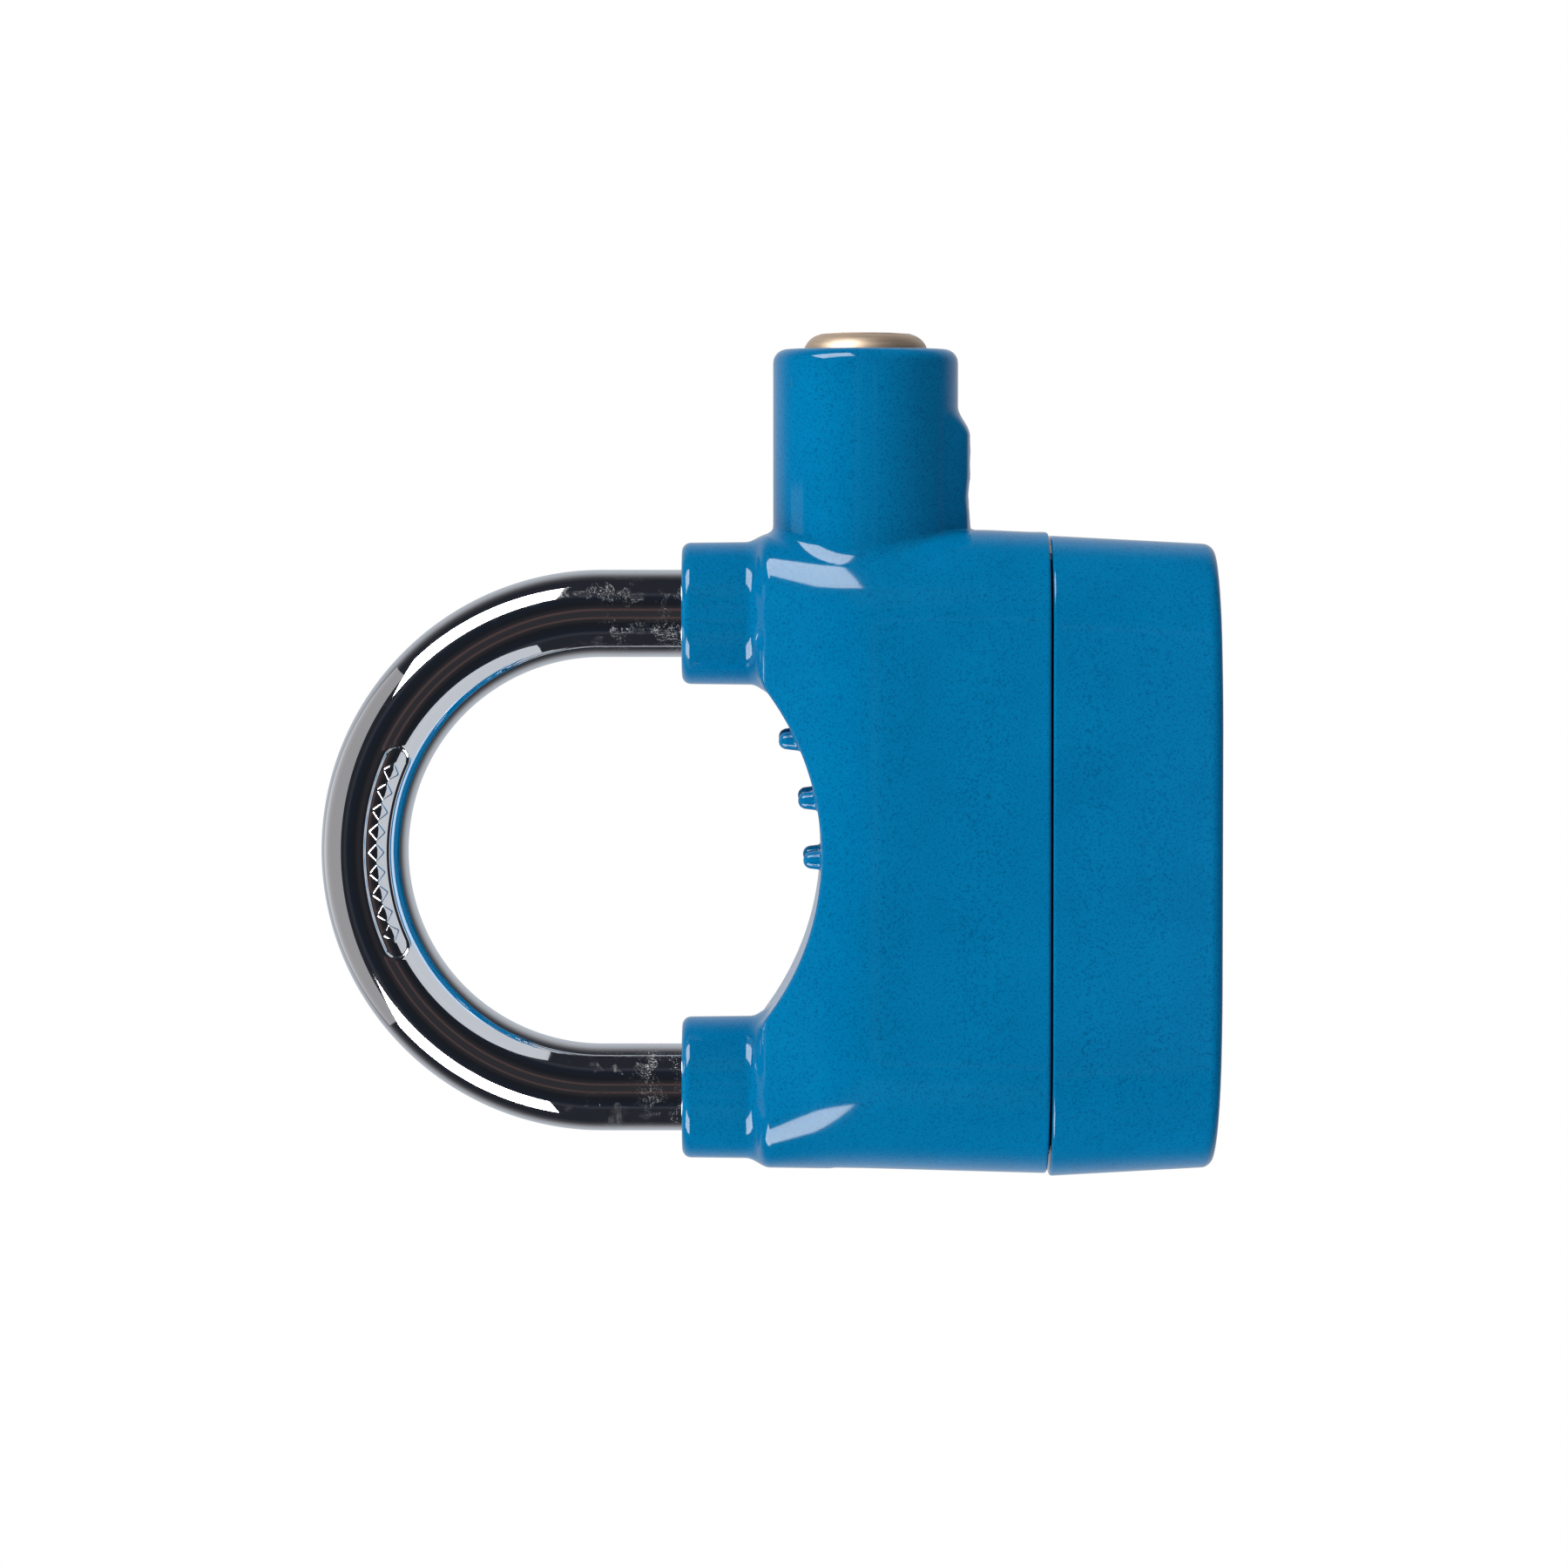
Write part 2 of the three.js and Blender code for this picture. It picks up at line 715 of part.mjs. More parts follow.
function makeCylinderShell() {
  const rim = edgeSteps(cylinderRim).map(([inset, back]) => [shellRadius - inset, shellEnd - back]);
  const at = [0, 0, cylinderHeight];
  const outside = turned([[0, shellInner], [shellRadius, shellInner], ...rim, [0, shellEnd]], "x", at);
  const chambers = chamberX.map((x) =>
    bar(chamberRadius, [-shellRadius - past, 0], "z", [x, 0, cylinderHeight], smallSides),
  );
  const crossGroove = bar(
    crossPinRadius + gap,
    [-bossRadius, bossRadius],
    "y",
    [bossEnd - crossPinInset, 0, cylinderHeight + shellRadius],
    smallSides,
  );
  const bore = bar(plugRadius + turningGap, [shellInner - past, shellEnd + past], "x", at);
  return cut(outside, bore, crossGroove, ...chambers);
}

// The plug is drawn turned to open, so its pin chambers face the front.
function makeKeyPlug() {
  const at = [0, 0, cylinderHeight];
  const profile = [
    [0, tailInner],
    [plugRadius - 3 * gap, tailInner],
    [plugRadius - 3 * gap, neckInner],
    [neckRadius, neckInner],
    [neckRadius, plugInner],
    [plugRadius, plugInner],
    [plugRadius, shellEnd - gap],
    [plugRadius - gap, shellEnd],
    [0, shellEnd + gap / 2],
  ];
  const crankPin = bar(
    crankPinRadius,
    [tabInner + gap / 2, tailInner + gap],
    "x",
    [0, -plateTravel / 2, cylinderHeight - plateTravel / 2],
    smallSides,
  );
  const keyway = block(
    [plugInner + gap, shellEnd + past],
    [-keywayTop, keywayBottom],
    [cylinderHeight - keywayWidth / 2, cylinderHeight + keywayWidth / 2],
  );
  const chamberSpan = [-plugRadius - past, -keywayTop / 2];
  const chambers = chamberX.map((x) =>
    bar(pinRadius + turningGap, chamberSpan, "y", [x, 0, cylinderHeight], smallSides),
  );
  return cut(joined(turned(profile, "x", at), crankPin), keyway, ...chambers);
}

function makeRetainingClip() {
  const middle = (neckInner + plugInner) / 2;
  const span = [middle - clipThickness / 2, middle + clipThickness / 2];
  const band = ring(neckRadius + turningGap, shellRadius - 3 * gap, span, "x", [0, 0, cylinderHeight]);
  const mouth = block([span[0] - past, span[1] + past], [0, shellRadius], [
    cylinderHeight - neckRadius / 2,
    cylinderHeight + neckRadius / 2,
  ]);
  return band.subtract(mouth);
}

function makeSpring(x, [bottom, top]) {
  class Helix extends THREE.Curve {
    getPoint(t, target = new THREE.Vector3()) {
      const angle = t * springTurns * 2 * Math.PI;
      const radius = pinRadius - springWire / 2;
      const z = lerp(bottom + springWire, top - springWire, t);
      return target.set(x + radius * Math.cos(angle), radius * Math.sin(angle), z);
    }
  }
  const wire = new THREE.Shape();
  wire.absarc(0, 0, springWire / 2, 0, 2 * Math.PI);
  const coil = new THREE.ExtrudeGeometry(wire, {
    steps: springTurns * 8,
    curveSegments: 2,
    extrudePath: new Helix(),
  });
  return solid(coil);
}

addPiece("cylinder_shell", makeCylinderShell(), brass);
addPiece("key_plug", makeKeyPlug(), brass);
addPiece("plug_retaining_clip", makeRetainingClip(), steel);
addPiece(
  "cylinder_cross_pin",
  bar(
    crossPinRadius,
    [-crossPinHalf(), crossPinHalf()],
    "y",
    [bossEnd - crossPinInset, 0, cylinderHeight + shellRadius],
    smallSides,
  ),
  steel,
);

chamberX.forEach((x, i) => {
  const shearLine = plugRadius + turningGap + gap / 2;
  const driverEnd = shearLine + driverLength;
  const plugFace = bossRadius + humpHeight - gap - chamberPlugLength;
  const down = (r) => cylinderHeight - r;
  addPiece(
    `key_pin_${i + 1}`,
    turned(
      [
        [0, -plugRadius + gap / 3],
        [pinRadius, -plugRadius + gap / 3],
        [pinRadius, -pinTips[i] - pinRadius / 2],
        [0, -pinTips[i]],
      ],
      "y",
      [x, 0, cylinderHeight],
      smallSides,
    ),
    brass,
  );
  const springSpan = [down(plugFace - gap / 2), down(driverEnd + gap / 2)];
  const plugSpan = [down(plugFace + chamberPlugLength), down(plugFace)];
  const driver = bar(pinRadius, [down(driverEnd), down(shearLine)], "z", [x, 0, 0], smallSides);
  addPiece(`driver_pin_${i + 1}`, driver, steel);
  addPiece(`pin_spring_${i + 1}`, makeSpring(x, springSpan), steel);
  addPiece(
    `chamber_plug_${i + 1}`,
    bar(chamberRadius - gap / 2, plugSpan, "z", [x, 0, 0], smallSides),
    brass,
  );
});

// ---- Mechanism ----

// The plate is drawn clear of both legs. It slides towards +Y to lock them.
function makeLockingPlate() {
  const span = [plateHeight, plateTop];
  const plate = slab(
    { y: plateRestY, halfWidth: plateHalfLength, halfDepth: plateHalfDepth, corner: plateCorner },
    span,
  );
  const tab = block(
    [tabInner, tabOuter],
    [plateRestY - tabWidth / 2, plateRestY + tabWidth / 2],
    [plateHeight, cylinderHeight + tabRise],
  );
  const through = [plateHeight - past, plateTop + past];
  const slotHalf = frameScrewRadius + gap;
  const openings = [-1, 1].flatMap((side) => [
    block([side * legX - apertureHalf, side * legX + apertureHalf], [-apertureHalf, apertureHalf], through),
    block(
      [side * frameScrewX - slotHalf, side * frameScrewX + slotHalf],
      [-slotHalf - plateTravel, slotHalf],
      through,
    ),
  ]);
  // The crank pin swings between a height of one radius and half the travel below the axis.
  const crankSlotHalf = crankPinRadius + crankSlotGap;
  const crankLow = cylinderHeight - crankRadius - crankPinRadius - gap;
  const crankHigh = cylinderHeight - plateTravel / 2 + crankPinRadius + gap;
  const crankSlot = block(
    [tabInner - past, tabOuter + past],
    [plateRestY - crankSlotHalf, plateRestY + crankSlotHalf],
    [crankLow, crankHigh],
  );
  return cut(joined(cut(plate, ...openings), tab), crankSlot);
}

function makeMechanismFrame() {
  const plate = slab(caseSection(seamHeight, caseWall + gap), [frameBottom, frameTop]);
  const post = bar(screwPost, [postEnd, frameBottom + past], "z", [legX, 0, 0]);
  const standoffs = boardScrewSpots.map(([x, y]) =>
    bar(standoffRadius, [boardTop + gap, frameBottom + past], "z", [x, y, 0], smallSides),
  );
  const legRoom = boreRadius + gap;
  const holes = [
    bar(legRoom, [frameBottom - past, frameTop + past], "z", [-legX, 0, 0]),
    bar(legRoom, [coverScrewSeat, frameTop + past], "z", [legX, 0, 0]),
    bar(coverScrewRadius + gap, [postEnd - past, frameTop], "z", [legX, 0, 0], smallSides),
    ...[-frameScrewX, frameScrewX].map((x) =>
      bar(frameScrewRadius + gap, [frameBottom - past, frameTop + past], "z", [x, 0, 0], smallSides),
    ),
    ...boardScrewSpots.map(([x, y]) =>
      bar(boardScrewRadius + gap, [boardTop, frameBottom - past], "z", [x, y, 0], smallSides),
    ),
  ];
  return cut(joined(plate, post, ...standoffs), ...holes);
}

addPiece("locking_plate", makeLockingPlate(), steel);
addPiece("mechanism_frame", makeMechanismFrame(), zinc);
[-frameScrewX, frameScrewX].forEach((x, i) => {
  const span = [plateTop + frameScrewReach, frameBottom - gap];
  addPiece(
    `frame_screw_${i + 1}`,
    screw(frameScrewRadius, [frameScrewRadius * screwHeadRatio, screwHeadHeight], span, [x, 0]),
    steel,
  );
});

// ---- Electronics ----

function makeBoard() {
  const sheet = slab(
    {
      x: (boardStart + boardEnd) / 2,
      halfWidth: (boardEnd - boardStart) / 2,
      halfDepth: boardDepth / 2,
      corner: boardCorner,
    },
    [boardHeight, boardTop],
  );
  const holes = boardScrewSpots.map(([x, y]) =>
    bar(boardScrewRadius + gap, [boardHeight - past, boardTop + past], "z", [x, y, 0], smallSides),
  );
  return cut(sheet, ...holes);
}

function makeSwitchBody() {
  const half = switchSize / 2;
  const bottom = boardTop + gap;
  const body = block([-legX - half, -legX + half], [-half, half], [bottom, bottom + switchHeight]);
  const roomSpan = [bottom + gap, bottom + switchHeight + past];
  const room = bar(plungerRadius + gap, roomSpan, "z", [-legX, 0, 0], smallSides);
  return body.subtract(room);
}

const onBoard = boardTop + gap;
const plungerTop = legEnd + plungerRise;
addPiece("circuit_board", makeBoard(), board);
addPiece("mode_switch_body", makeSwitchBody(), blackPlastic);
addPiece(
  "mode_switch_plunger",
  bar(plungerRadius, [plungerTop - plungerLength, plungerTop], "z", [-legX, 0, 0], smallSides),
  whitePlastic,
);
addPiece(
  "vibration_sensor",
  bar(sensorRadius, sensorSpan, "x", [0, sensorY, onBoard + sensorRadius]),
  nickel,
);
addPiece(
  "driver_coil",
  bar(coilRadius, [onBoard, onBoard + coilHeight], "z", [...coilSpot, 0]),
  blackPlastic,
);
addPiece("control_chip", block(chipSpanX, chipSpanY, [onBoard, onBoard + chipHeight]), blackPlastic);
boardScrewSpots.forEach((spot, i) => {
  const span = [frameBottom - 4 * gap, boardHeight - gap];
  addPiece(
    `board_screw_${i + 1}`,
    screw(boardScrewRadius, [boardScrewRadius * screwHeadRatio, screwHeadHeight], span, spot),
    steel,
  );
});

// ---- Cells ----

function makeTray() {
  const height = cellBottom + cellDiameter + gap;
  const body = slab(
    {
      x: (trayStart + trayEnd) / 2,
      halfWidth: (trayEnd - trayStart) / 2,
      halfDepth: bayHalf + trayWall,
      corner: trayCorner,
    },
    [trayFloor, Math.min(height, gasketBottom - gap)],
  );
  const bays = stackX.map((x) =>
    block([x - bayWidth / 2, x + bayWidth / 2], [-bayHalf, bayHalf], [trayFloor + trayWall, height + past]),
  );
  const bridgeSpan = [bridgeBottom - gap, height + past];
  const bridgeRoom = block([stackX[0], stackX.at(-1)], [stackHalf, bayHalf], bridgeSpan);
  return cut(body, ...bays, bridgeRoom);
}

addPiece("battery_tray", makeTray(), blackPlastic);
const [capInset, capHeight] = cellStep;
stackX.forEach((x, stack) => {
  for (let i = 0; i < cellsPerStack; i += 1) {
    const start = -stackHalf + i * (cellThickness + gap);
    addPiece(
      `cell_${stack * cellsPerStack + i + 1}`,
      turned(
        [
          [0, start],
          [cellRadius, start],
          [cellRadius, start + cellThickness - capHeight],
          [cellRadius - capInset, start + cellThickness],
          [0, start + cellThickness],
        ],
        "y",
        [x, 0, cellHeight],
      ),
      nickel,
    );
  }
  const half = cellRadius / 2;
  addPiece(
    `cell_terminal_${stack + 1}`,
    block(
      [x - half, x + half],
      [-stackHalf - gap - contactThickness, -stackHalf - gap],
      [cellBottom, boardHeight - gap],
    ),
    nickel,
  );
});
addPiece(
  "cell_bridge_contact",
  block(
    [stackX[0] - cellRadius / 2, stackX.at(-1) + cellRadius / 2],
    [stackHalf + gap, stackHalf + gap + contactThickness],
    [bridgeBottom, cellBottom + cellDiameter],
  ),
  nickel,
);

// ---- Siren ----

function makeSirenCase() {
  const at = [sirenX, 0, sirenHeight];
  const front = sirenBack - sirenDepth;
  const hollow = bar(sirenRadius - sirenWall, [front + sirenWall, sirenBack + past], "y", at);
  return bar(sirenRadius, [front, sirenBack], "y", at).subtract(hollow);
}

addPiece("siren_case", makeSirenCase(), blackPlastic);
addPiece(
  "siren_disc",
  bar(
    sirenRadius - sirenWall - gap,
    [sirenBack - discInset - discThickness, sirenBack - discInset],
    "y",
    [sirenX, 0, sirenHeight],
  ),
  brass,
);

export default padlock;
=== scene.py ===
"""Looks of the alarm padlock: enamelled case and cover, chromed shackle, brass lock cylinder.

Sizes are in millimetres and become metres where a mesh is made. Places come from the CAD frame.
"""

import json
import math

import bmesh
import bpy
import numpy as np
import openvdb
from mathutils import Matrix, Vector


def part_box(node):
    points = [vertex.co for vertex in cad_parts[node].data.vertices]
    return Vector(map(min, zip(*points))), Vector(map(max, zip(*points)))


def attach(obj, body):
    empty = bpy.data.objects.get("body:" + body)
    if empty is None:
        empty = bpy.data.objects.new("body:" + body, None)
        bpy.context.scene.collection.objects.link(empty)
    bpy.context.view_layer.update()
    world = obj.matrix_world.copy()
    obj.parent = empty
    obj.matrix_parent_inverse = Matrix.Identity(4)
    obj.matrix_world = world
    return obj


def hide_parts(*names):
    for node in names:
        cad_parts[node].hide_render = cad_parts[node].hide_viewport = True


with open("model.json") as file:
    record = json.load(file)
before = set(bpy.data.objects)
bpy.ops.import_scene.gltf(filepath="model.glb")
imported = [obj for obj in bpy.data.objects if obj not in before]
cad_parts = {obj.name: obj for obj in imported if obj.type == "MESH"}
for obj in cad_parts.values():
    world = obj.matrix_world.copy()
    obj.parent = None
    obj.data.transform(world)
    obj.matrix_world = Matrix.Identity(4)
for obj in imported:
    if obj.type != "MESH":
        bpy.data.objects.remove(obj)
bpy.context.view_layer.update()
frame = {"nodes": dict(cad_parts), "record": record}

MM = 0.001


# ---- Places from the frame ----

def box_mm(node):
    low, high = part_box(node)
    return np.array(low) / MM, np.array(high) / MM


CASE_LOW, CASE_HIGH = box_mm("upper_case")
COVER_LOW, COVER_HIGH = box_mm("lower_cover")
ROD_LOW, ROD_HIGH = box_mm("shackle")
SHELL_LOW, SHELL_HIGH = box_mm("cylinder_shell")
PLUG_LOW, PLUG_HIGH = box_mm("key_plug")
SEAL_LOW, SEAL_HIGH = box_mm("collar_seal_right")
FRAME_LOW, FRAME_HIGH = box_mm("mechanism_frame")
PLATE_LOW, PLATE_HIGH = box_mm("locking_plate")
CROSS_LOW, CROSS_HIGH = box_mm("cylinder_cross_pin")
GASKET_LOW = box_mm("cover_gasket")[0]
SCREW_LOW = box_mm("cover_screw")[0]
CHAMBER_X = [float(np.mean([b[0] for b in box_mm(f"chamber_plug_{i}")])) for i in range(1, 5)]
CHAMBER_END = float(box_mm("chamber_plug_1")[0][2])

GAP = 0.3
CASE_HALF = float(-CASE_LOW[0])
HALF_DEPTH = float(CASE_HIGH[1])
CASE_BOTTOM = float(CASE_LOW[2])
COLLAR_TOP = float(CASE_HIGH[2])
BOSS_END = float(CASE_HIGH[0])
ROD_RADIUS = float(ROD_HIGH[1])
LEG_X = float(ROD_HIGH[0]) - ROD_RADIUS
LEG_END = float(ROD_LOW[2])
BOW_HEIGHT = float(ROD_HIGH[2]) - LEG_X - ROD_RADIUS
CYLINDER_Z = float(SHELL_LOW[2] + SHELL_HIGH[2]) / 2
SHELL_RADIUS = float(SHELL_HIGH[2] - SHELL_LOW[2]) / 2

# Case, above the seam
SHOULDER = 52.4
KNEE = 42.0  # above it the front and back lean in
KNEE_SOFTNESS = 4.0
SIDE_DRAW = 0.85
FACE_DRAW = 0.6
SHOULDER_DRAW = 5.5
CASE_CORNER = 14.0
BOSS_SIDE_CORNER = 11.0  # the same corner on the side of the boss
SHOULDER_CORNER = 6.5
EDGE_RADIUS = 1.2
SEAM_EDGE = 0.35
LEAN = 0.45  # of the side under the boss, towards the seam
CASE_WALL = 3.0
ARCH_DEPTH = 7.0
ARCH_EDGE = 0.45
COLLAR_RADIUS = ROD_RADIUS + 3.1
COLLAR_RIM = 1.0
COLLAR_DRAFT = 0.1
COLLAR_FILLET = 1.7
BORE_RADIUS = ROD_RADIUS + GAP
BORE_EDGE = 0.3
BOSS_RADIUS = SHELL_RADIUS + 3.45
BOSS_RIM = 1.6
BOSS_FILLET = 1.0
BOSS_WALL = 1.0  # past the bore of the leg beside it, where the boss begins
HUMP_HEIGHT = 1.45
HUMP_HALF = 5.2
HUMP_FULL = 10.3  # from the side of the case to where the hump starts to fall
HUMP_LENGTH = 13.7
HUMP_DIP = 0.13  # the share by which the hump is lower at its waist
HUMP_WAIST = (3.3, 1.6)  # from the side of the case, and how wide it is
NUB_X = (-0.75, 6.05, 12.85)
NUB_ROW = 7.0
NUB_RADIUS = 1.1
NUB_TIP = 0.85
NUB_LENGTH = 2.0
NUB_DOME = 0.8
NUB_FILLET = 0.25

# Rooms inside the case
SEAL_GROOVE = 1.3  # deeper than the bore
CROSS_PIN_RADIUS = 1.0
TAB_HALF = 4.9
TAB_ROOM = (1.3, 0.4)  # behind the plate's end and past it
HOOK_HALF = 3.3
HOOK_ROOM = (2.0, 3.8)  # above the seam
HOOK_DEPTH = 1.7
FRAME_SCREW_RADIUS = 1.55
FRAME_SCREW_REACH = 9.0
CHAMBER_RADIUS = 1.35
CHAMBER_SKIN = 0.15
PLATE_CORNER = 4.3
PLATE_ROOM = (1.0, 2.3)  # below the plate's underside and above it
INNER_CORNER = 9.5

# Lower cover
COVER_TOP = CASE_BOTTOM - 0.24
COVER_X = float(COVER_LOW[0] + COVER_HIGH[0]) / 2
COVER_HALF = float(COVER_HIGH[0] - COVER_LOW[0]) / 2
COVER_DRAW = 1.0
COVER_FACE_DRAW = 0.6
COVER_WALL = 2.6
COVER_CORNER = 13.0
COVER_BOSS_SIDE_CORNER = 11.0
BASE_EDGE = 1.3
BASE_FLAT = 14.0
BASE_CROWN = 0.45
CROWN_SHARE = 1.6
SOUND_HOLE_RADIUS = 0.9
SOUND_HOLE_RING = 3.5
SOUND_HOLE_REACH = (5, 20)
POST_RADIUS = 3.4
POST_START = 2.0
COVER_SCREW_RADIUS = 1.8
HOOK_NOSE_HALF = 3.0
HOOK_ROOT = 1.3  # inside the cover's wall
HOOK_STEM = (1.3, 2.4)  # from the gasket's end
HOOK_FOOT = (4.4, 2.0)  # below the seam
HOOK_NOSE = (2.3, 3.5)  # above the seam
HOOK_TIP = 2.0  # from the side of the case


# ---- Shapes as distances: negative inside, zero on the surface ----

def joined(a, b, fillet):
    """Either shape, with a round fillet where they meet."""
    corner = np.hypot(np.maximum(fillet - a, 0), np.maximum(fillet - b, 0))
    return np.maximum(fillet, np.minimum(a, b)) - corner


def shared(a, b, edge):
    """What both shapes hold, with a round edge where they meet."""
    corner = np.hypot(np.maximum(edge + a, 0), np.maximum(edge + b, 0))
    return np.minimum(-edge, np.maximum(a, b)) + corner


def smooth(value, start, end):
    t = np.clip((value - start) / (end - start), 0, 1)
    return t * t * (3 - 2 * t)


def rounded_box(x, y, half_x, half_y, corner):
    across = np.abs(x) - (half_x - corner)
    deep = np.abs(y) - (half_y - corner)
    outside = np.hypot(np.maximum(across, 0), np.maximum(deep, 0))
    return outside + np.minimum(np.maximum(across, deep), 0) - corner


def span(value, low, high):
    """Distance to the slab between two planes."""
    return np.maximum(low - value, value - high)


def bar(u, v, along, radius, low, high):
    return np.maximum(np.hypot(u, v) - radius, span(along, low, high))


def block(x, y, z, low, high):
    level = np.maximum(span(x, low[0], high[0]), span(y, low[1], high[1]))
    return np.maximum(level, span(z, low[2], high[2]))


SEAM = (CASE_BOTTOM + COVER_TOP) / 2
ARCH_CHORD = LEG_X - COLLAR_RADIUS + 0.4
ARCH_RADIUS = (ARCH_CHORD**2 + ARCH_DEPTH**2) / (2 * ARCH_DEPTH)
ARCH_CENTRE = SHOULDER - ARCH_DEPTH + ARCH_RADIUS


def bend(value, softness):
    """Zero below zero and the value above it, with a soft bend between."""
    near = np.clip(value + softness, 0, 2 * softness)
    return near**2 / (4 * softness) + np.maximum(value - softness, 0)


def case_block(x, y, z):
    rise = (z - SEAM) / (SHOULDER - SEAM)
    high = bend(z - KNEE, KNEE_SOFTNESS) / (SHOULDER - KNEE)
    lean = LEAN * smooth(z, SEAM + 9, SEAM) * (x > 0)
    half_x = CASE_HALF - SIDE_DRAW * rise - lean
    half_y = HALF_DEPTH - FACE_DRAW * rise - (SHOULDER_DRAW - FACE_DRAW) * high
    full_corner = np.where(x > 0, BOSS_SIDE_CORNER, CASE_CORNER)
    corner = full_corner + (SHOULDER_CORNER - full_corner) * high
    sides = rounded_box(x, y, half_x, half_y, corner)
    topped = shared(sides, z - SHOULDER, EDGE_RADIUS)
    arch = ARCH_RADIUS - np.hypot(x, z - ARCH_CENTRE)
    return shared(topped, arch, ARCH_EDGE)


def collars(x, y, z):
    round_side = np.hypot(np.abs(x) - LEG_X, y)
    draft = COLLAR_DRAFT * (COLLAR_TOP - z) / (COLLAR_TOP - SHOULDER)
    side = round_side - COLLAR_RADIUS - draft
    topped = shared(side, z - COLLAR_TOP, COLLAR_RIM)
    return np.maximum(topped, SHOULDER - ARCH_DEPTH - z)


def boss(x, y, z):
    up = z - CYLINDER_Z
    outside = CASE_HALF + 0.2
    waist, waist_width = HUMP_WAIST
    length = smooth(x, outside + HUMP_LENGTH, outside + HUMP_FULL)
    ripple = 1 - HUMP_DIP * np.exp(-(((x - outside - waist) / waist_width) ** 2))
    across = smooth(np.abs(y), HUMP_HALF + 0.9, HUMP_HALF - 2.2)
    hump = HUMP_HEIGHT * length * ripple * across * smooth(-up, 3, 7)
    side = np.hypot(y, up) - BOSS_RADIUS - hump
    return np.maximum(shared(side, x - BOSS_END, BOSS_RIM), LEG_X + BORE_RADIUS + BOSS_WALL - x)


def nubs(x, y, z):
    nearest = None
    for nub_x in NUB_X:
        base = ARCH_CENTRE - math.sqrt(ARCH_RADIUS**2 - nub_x**2)
        up = z - base
        radius = NUB_RADIUS + (NUB_TIP - NUB_RADIUS) * up / NUB_LENGTH
        side = np.hypot(x - nub_x, np.abs(y) - NUB_ROW) - radius
        nub = np.maximum(shared(side, up - NUB_LENGTH, NUB_DOME), -1 - up)
        nearest = nub if nearest is None else np.minimum(nearest, nub)
    return nearest


def case_rooms(x, y, z):
    """Everything hollow inside the case."""
    mirrored = np.abs(x) - LEG_X
    up = z - CYLINDER_Z
    groove = ROD_RADIUS + GAP + SEAL_GROOVE
    cross_x, cross_z = CROSS_LOW[0] + CROSS_PIN_RADIUS, CROSS_LOW[2] + CROSS_PIN_RADIUS
    tab_low = (PLATE_HIGH[0] - TAB_ROOM[0], -TAB_HALF, PLATE_LOW[2])
    tab_high = (PLATE_HIGH[0] + TAB_ROOM[1], TAB_HALF, PLATE_HIGH[2] + GAP)
    hook_low = (-CASE_HALF + HOOK_DEPTH, -HOOK_HALF, SEAM + HOOK_ROOM[0])
    hook_high = (-LEG_X, HOOK_HALF, SEAM + HOOK_ROOM[1])
    rooms = [
        bar(mirrored, y, z, BORE_RADIUS, FRAME_LOW[2], COLLAR_TOP + 5),
        bar(mirrored, y, z, groove, SEAL_LOW[2] - GAP, SEAL_HIGH[2] + GAP),
        bar(y, up, x, SHELL_RADIUS + GAP, SHELL_LOW[0] - GAP, BOSS_END + 5),
        bar(y, up, x, SHELL_RADIUS - 2 * GAP, PLATE_HIGH[0] + GAP, SHELL_LOW[0]),
        bar(x - cross_x, z - cross_z, y, CROSS_PIN_RADIUS + GAP, CROSS_LOW[1] - GAP, CROSS_HIGH[1] + GAP),
        block(x, y, z, tab_low, tab_high),
        block(x, y, z, hook_low, hook_high),
    ]
    for screw in ("frame_screw_1", "frame_screw_2"):
        low, high = box_mm(screw)
        screw_x = (low[0] + high[0]) / 2
        reach = (PLATE_HIGH[2] - FRAME_SCREW_REACH, high[2] + GAP)
        rooms.append(bar(x - screw_x, y, z, FRAME_SCREW_RADIUS, *reach))
    for chamber_x in CHAMBER_X:
        rooms.append(bar(x - chamber_x, y, z, CHAMBER_RADIUS, CHAMBER_END - CHAMBER_SKIN, CYLINDER_Z))
    plate = rounded_box(x, y, PLATE_HIGH[0] + GAP, -PLATE_LOW[1] + GAP, PLATE_CORNER)
    rooms.append(np.maximum(plate, span(z, PLATE_LOW[2] - PLATE_ROOM[0], PLATE_LOW[2] + PLATE_ROOM[1])))
    inner = rounded_box(x, y, CASE_HALF - CASE_WALL, HALF_DEPTH - CASE_WALL, INNER_CORNER)
    rooms.append(np.maximum(inner, span(z, 0, FRAME_HIGH[2] + GAP)))
    nearest = rooms[0]
    for room in rooms[1:]:
        nearest = np.minimum(nearest, room)
    return nearest


def case_shape(x, y, z):
    solid = joined(case_block(x, y, z), collars(x, y, z), COLLAR_FILLET)
    fillet = BOSS_FILLET * (1 - 0.75 * smooth(CYLINDER_Z - z, 4, 9))
    solid = joined(solid, boss(x, y, z), fillet)
    solid = joined(solid, nubs(x, y, z), NUB_FILLET)
    solid = shared(solid, -case_rooms(x, y, z), BORE_EDGE)
    return shared(solid, CASE_BOTTOM - z, SEAM_EDGE)


def cover_outline(x, y, z, inset):
    drop = 1 - z / SEAM
    half_x = COVER_HALF - COVER_DRAW * drop - inset
    half_y = HALF_DEPTH - COVER_FACE_DRAW * drop - inset
    corner = np.where(x > COVER_X, COVER_BOSS_SIDE_CORNER, COVER_CORNER) - inset
    return rounded_box(x - COVER_X, y, half_x, half_y, corner)


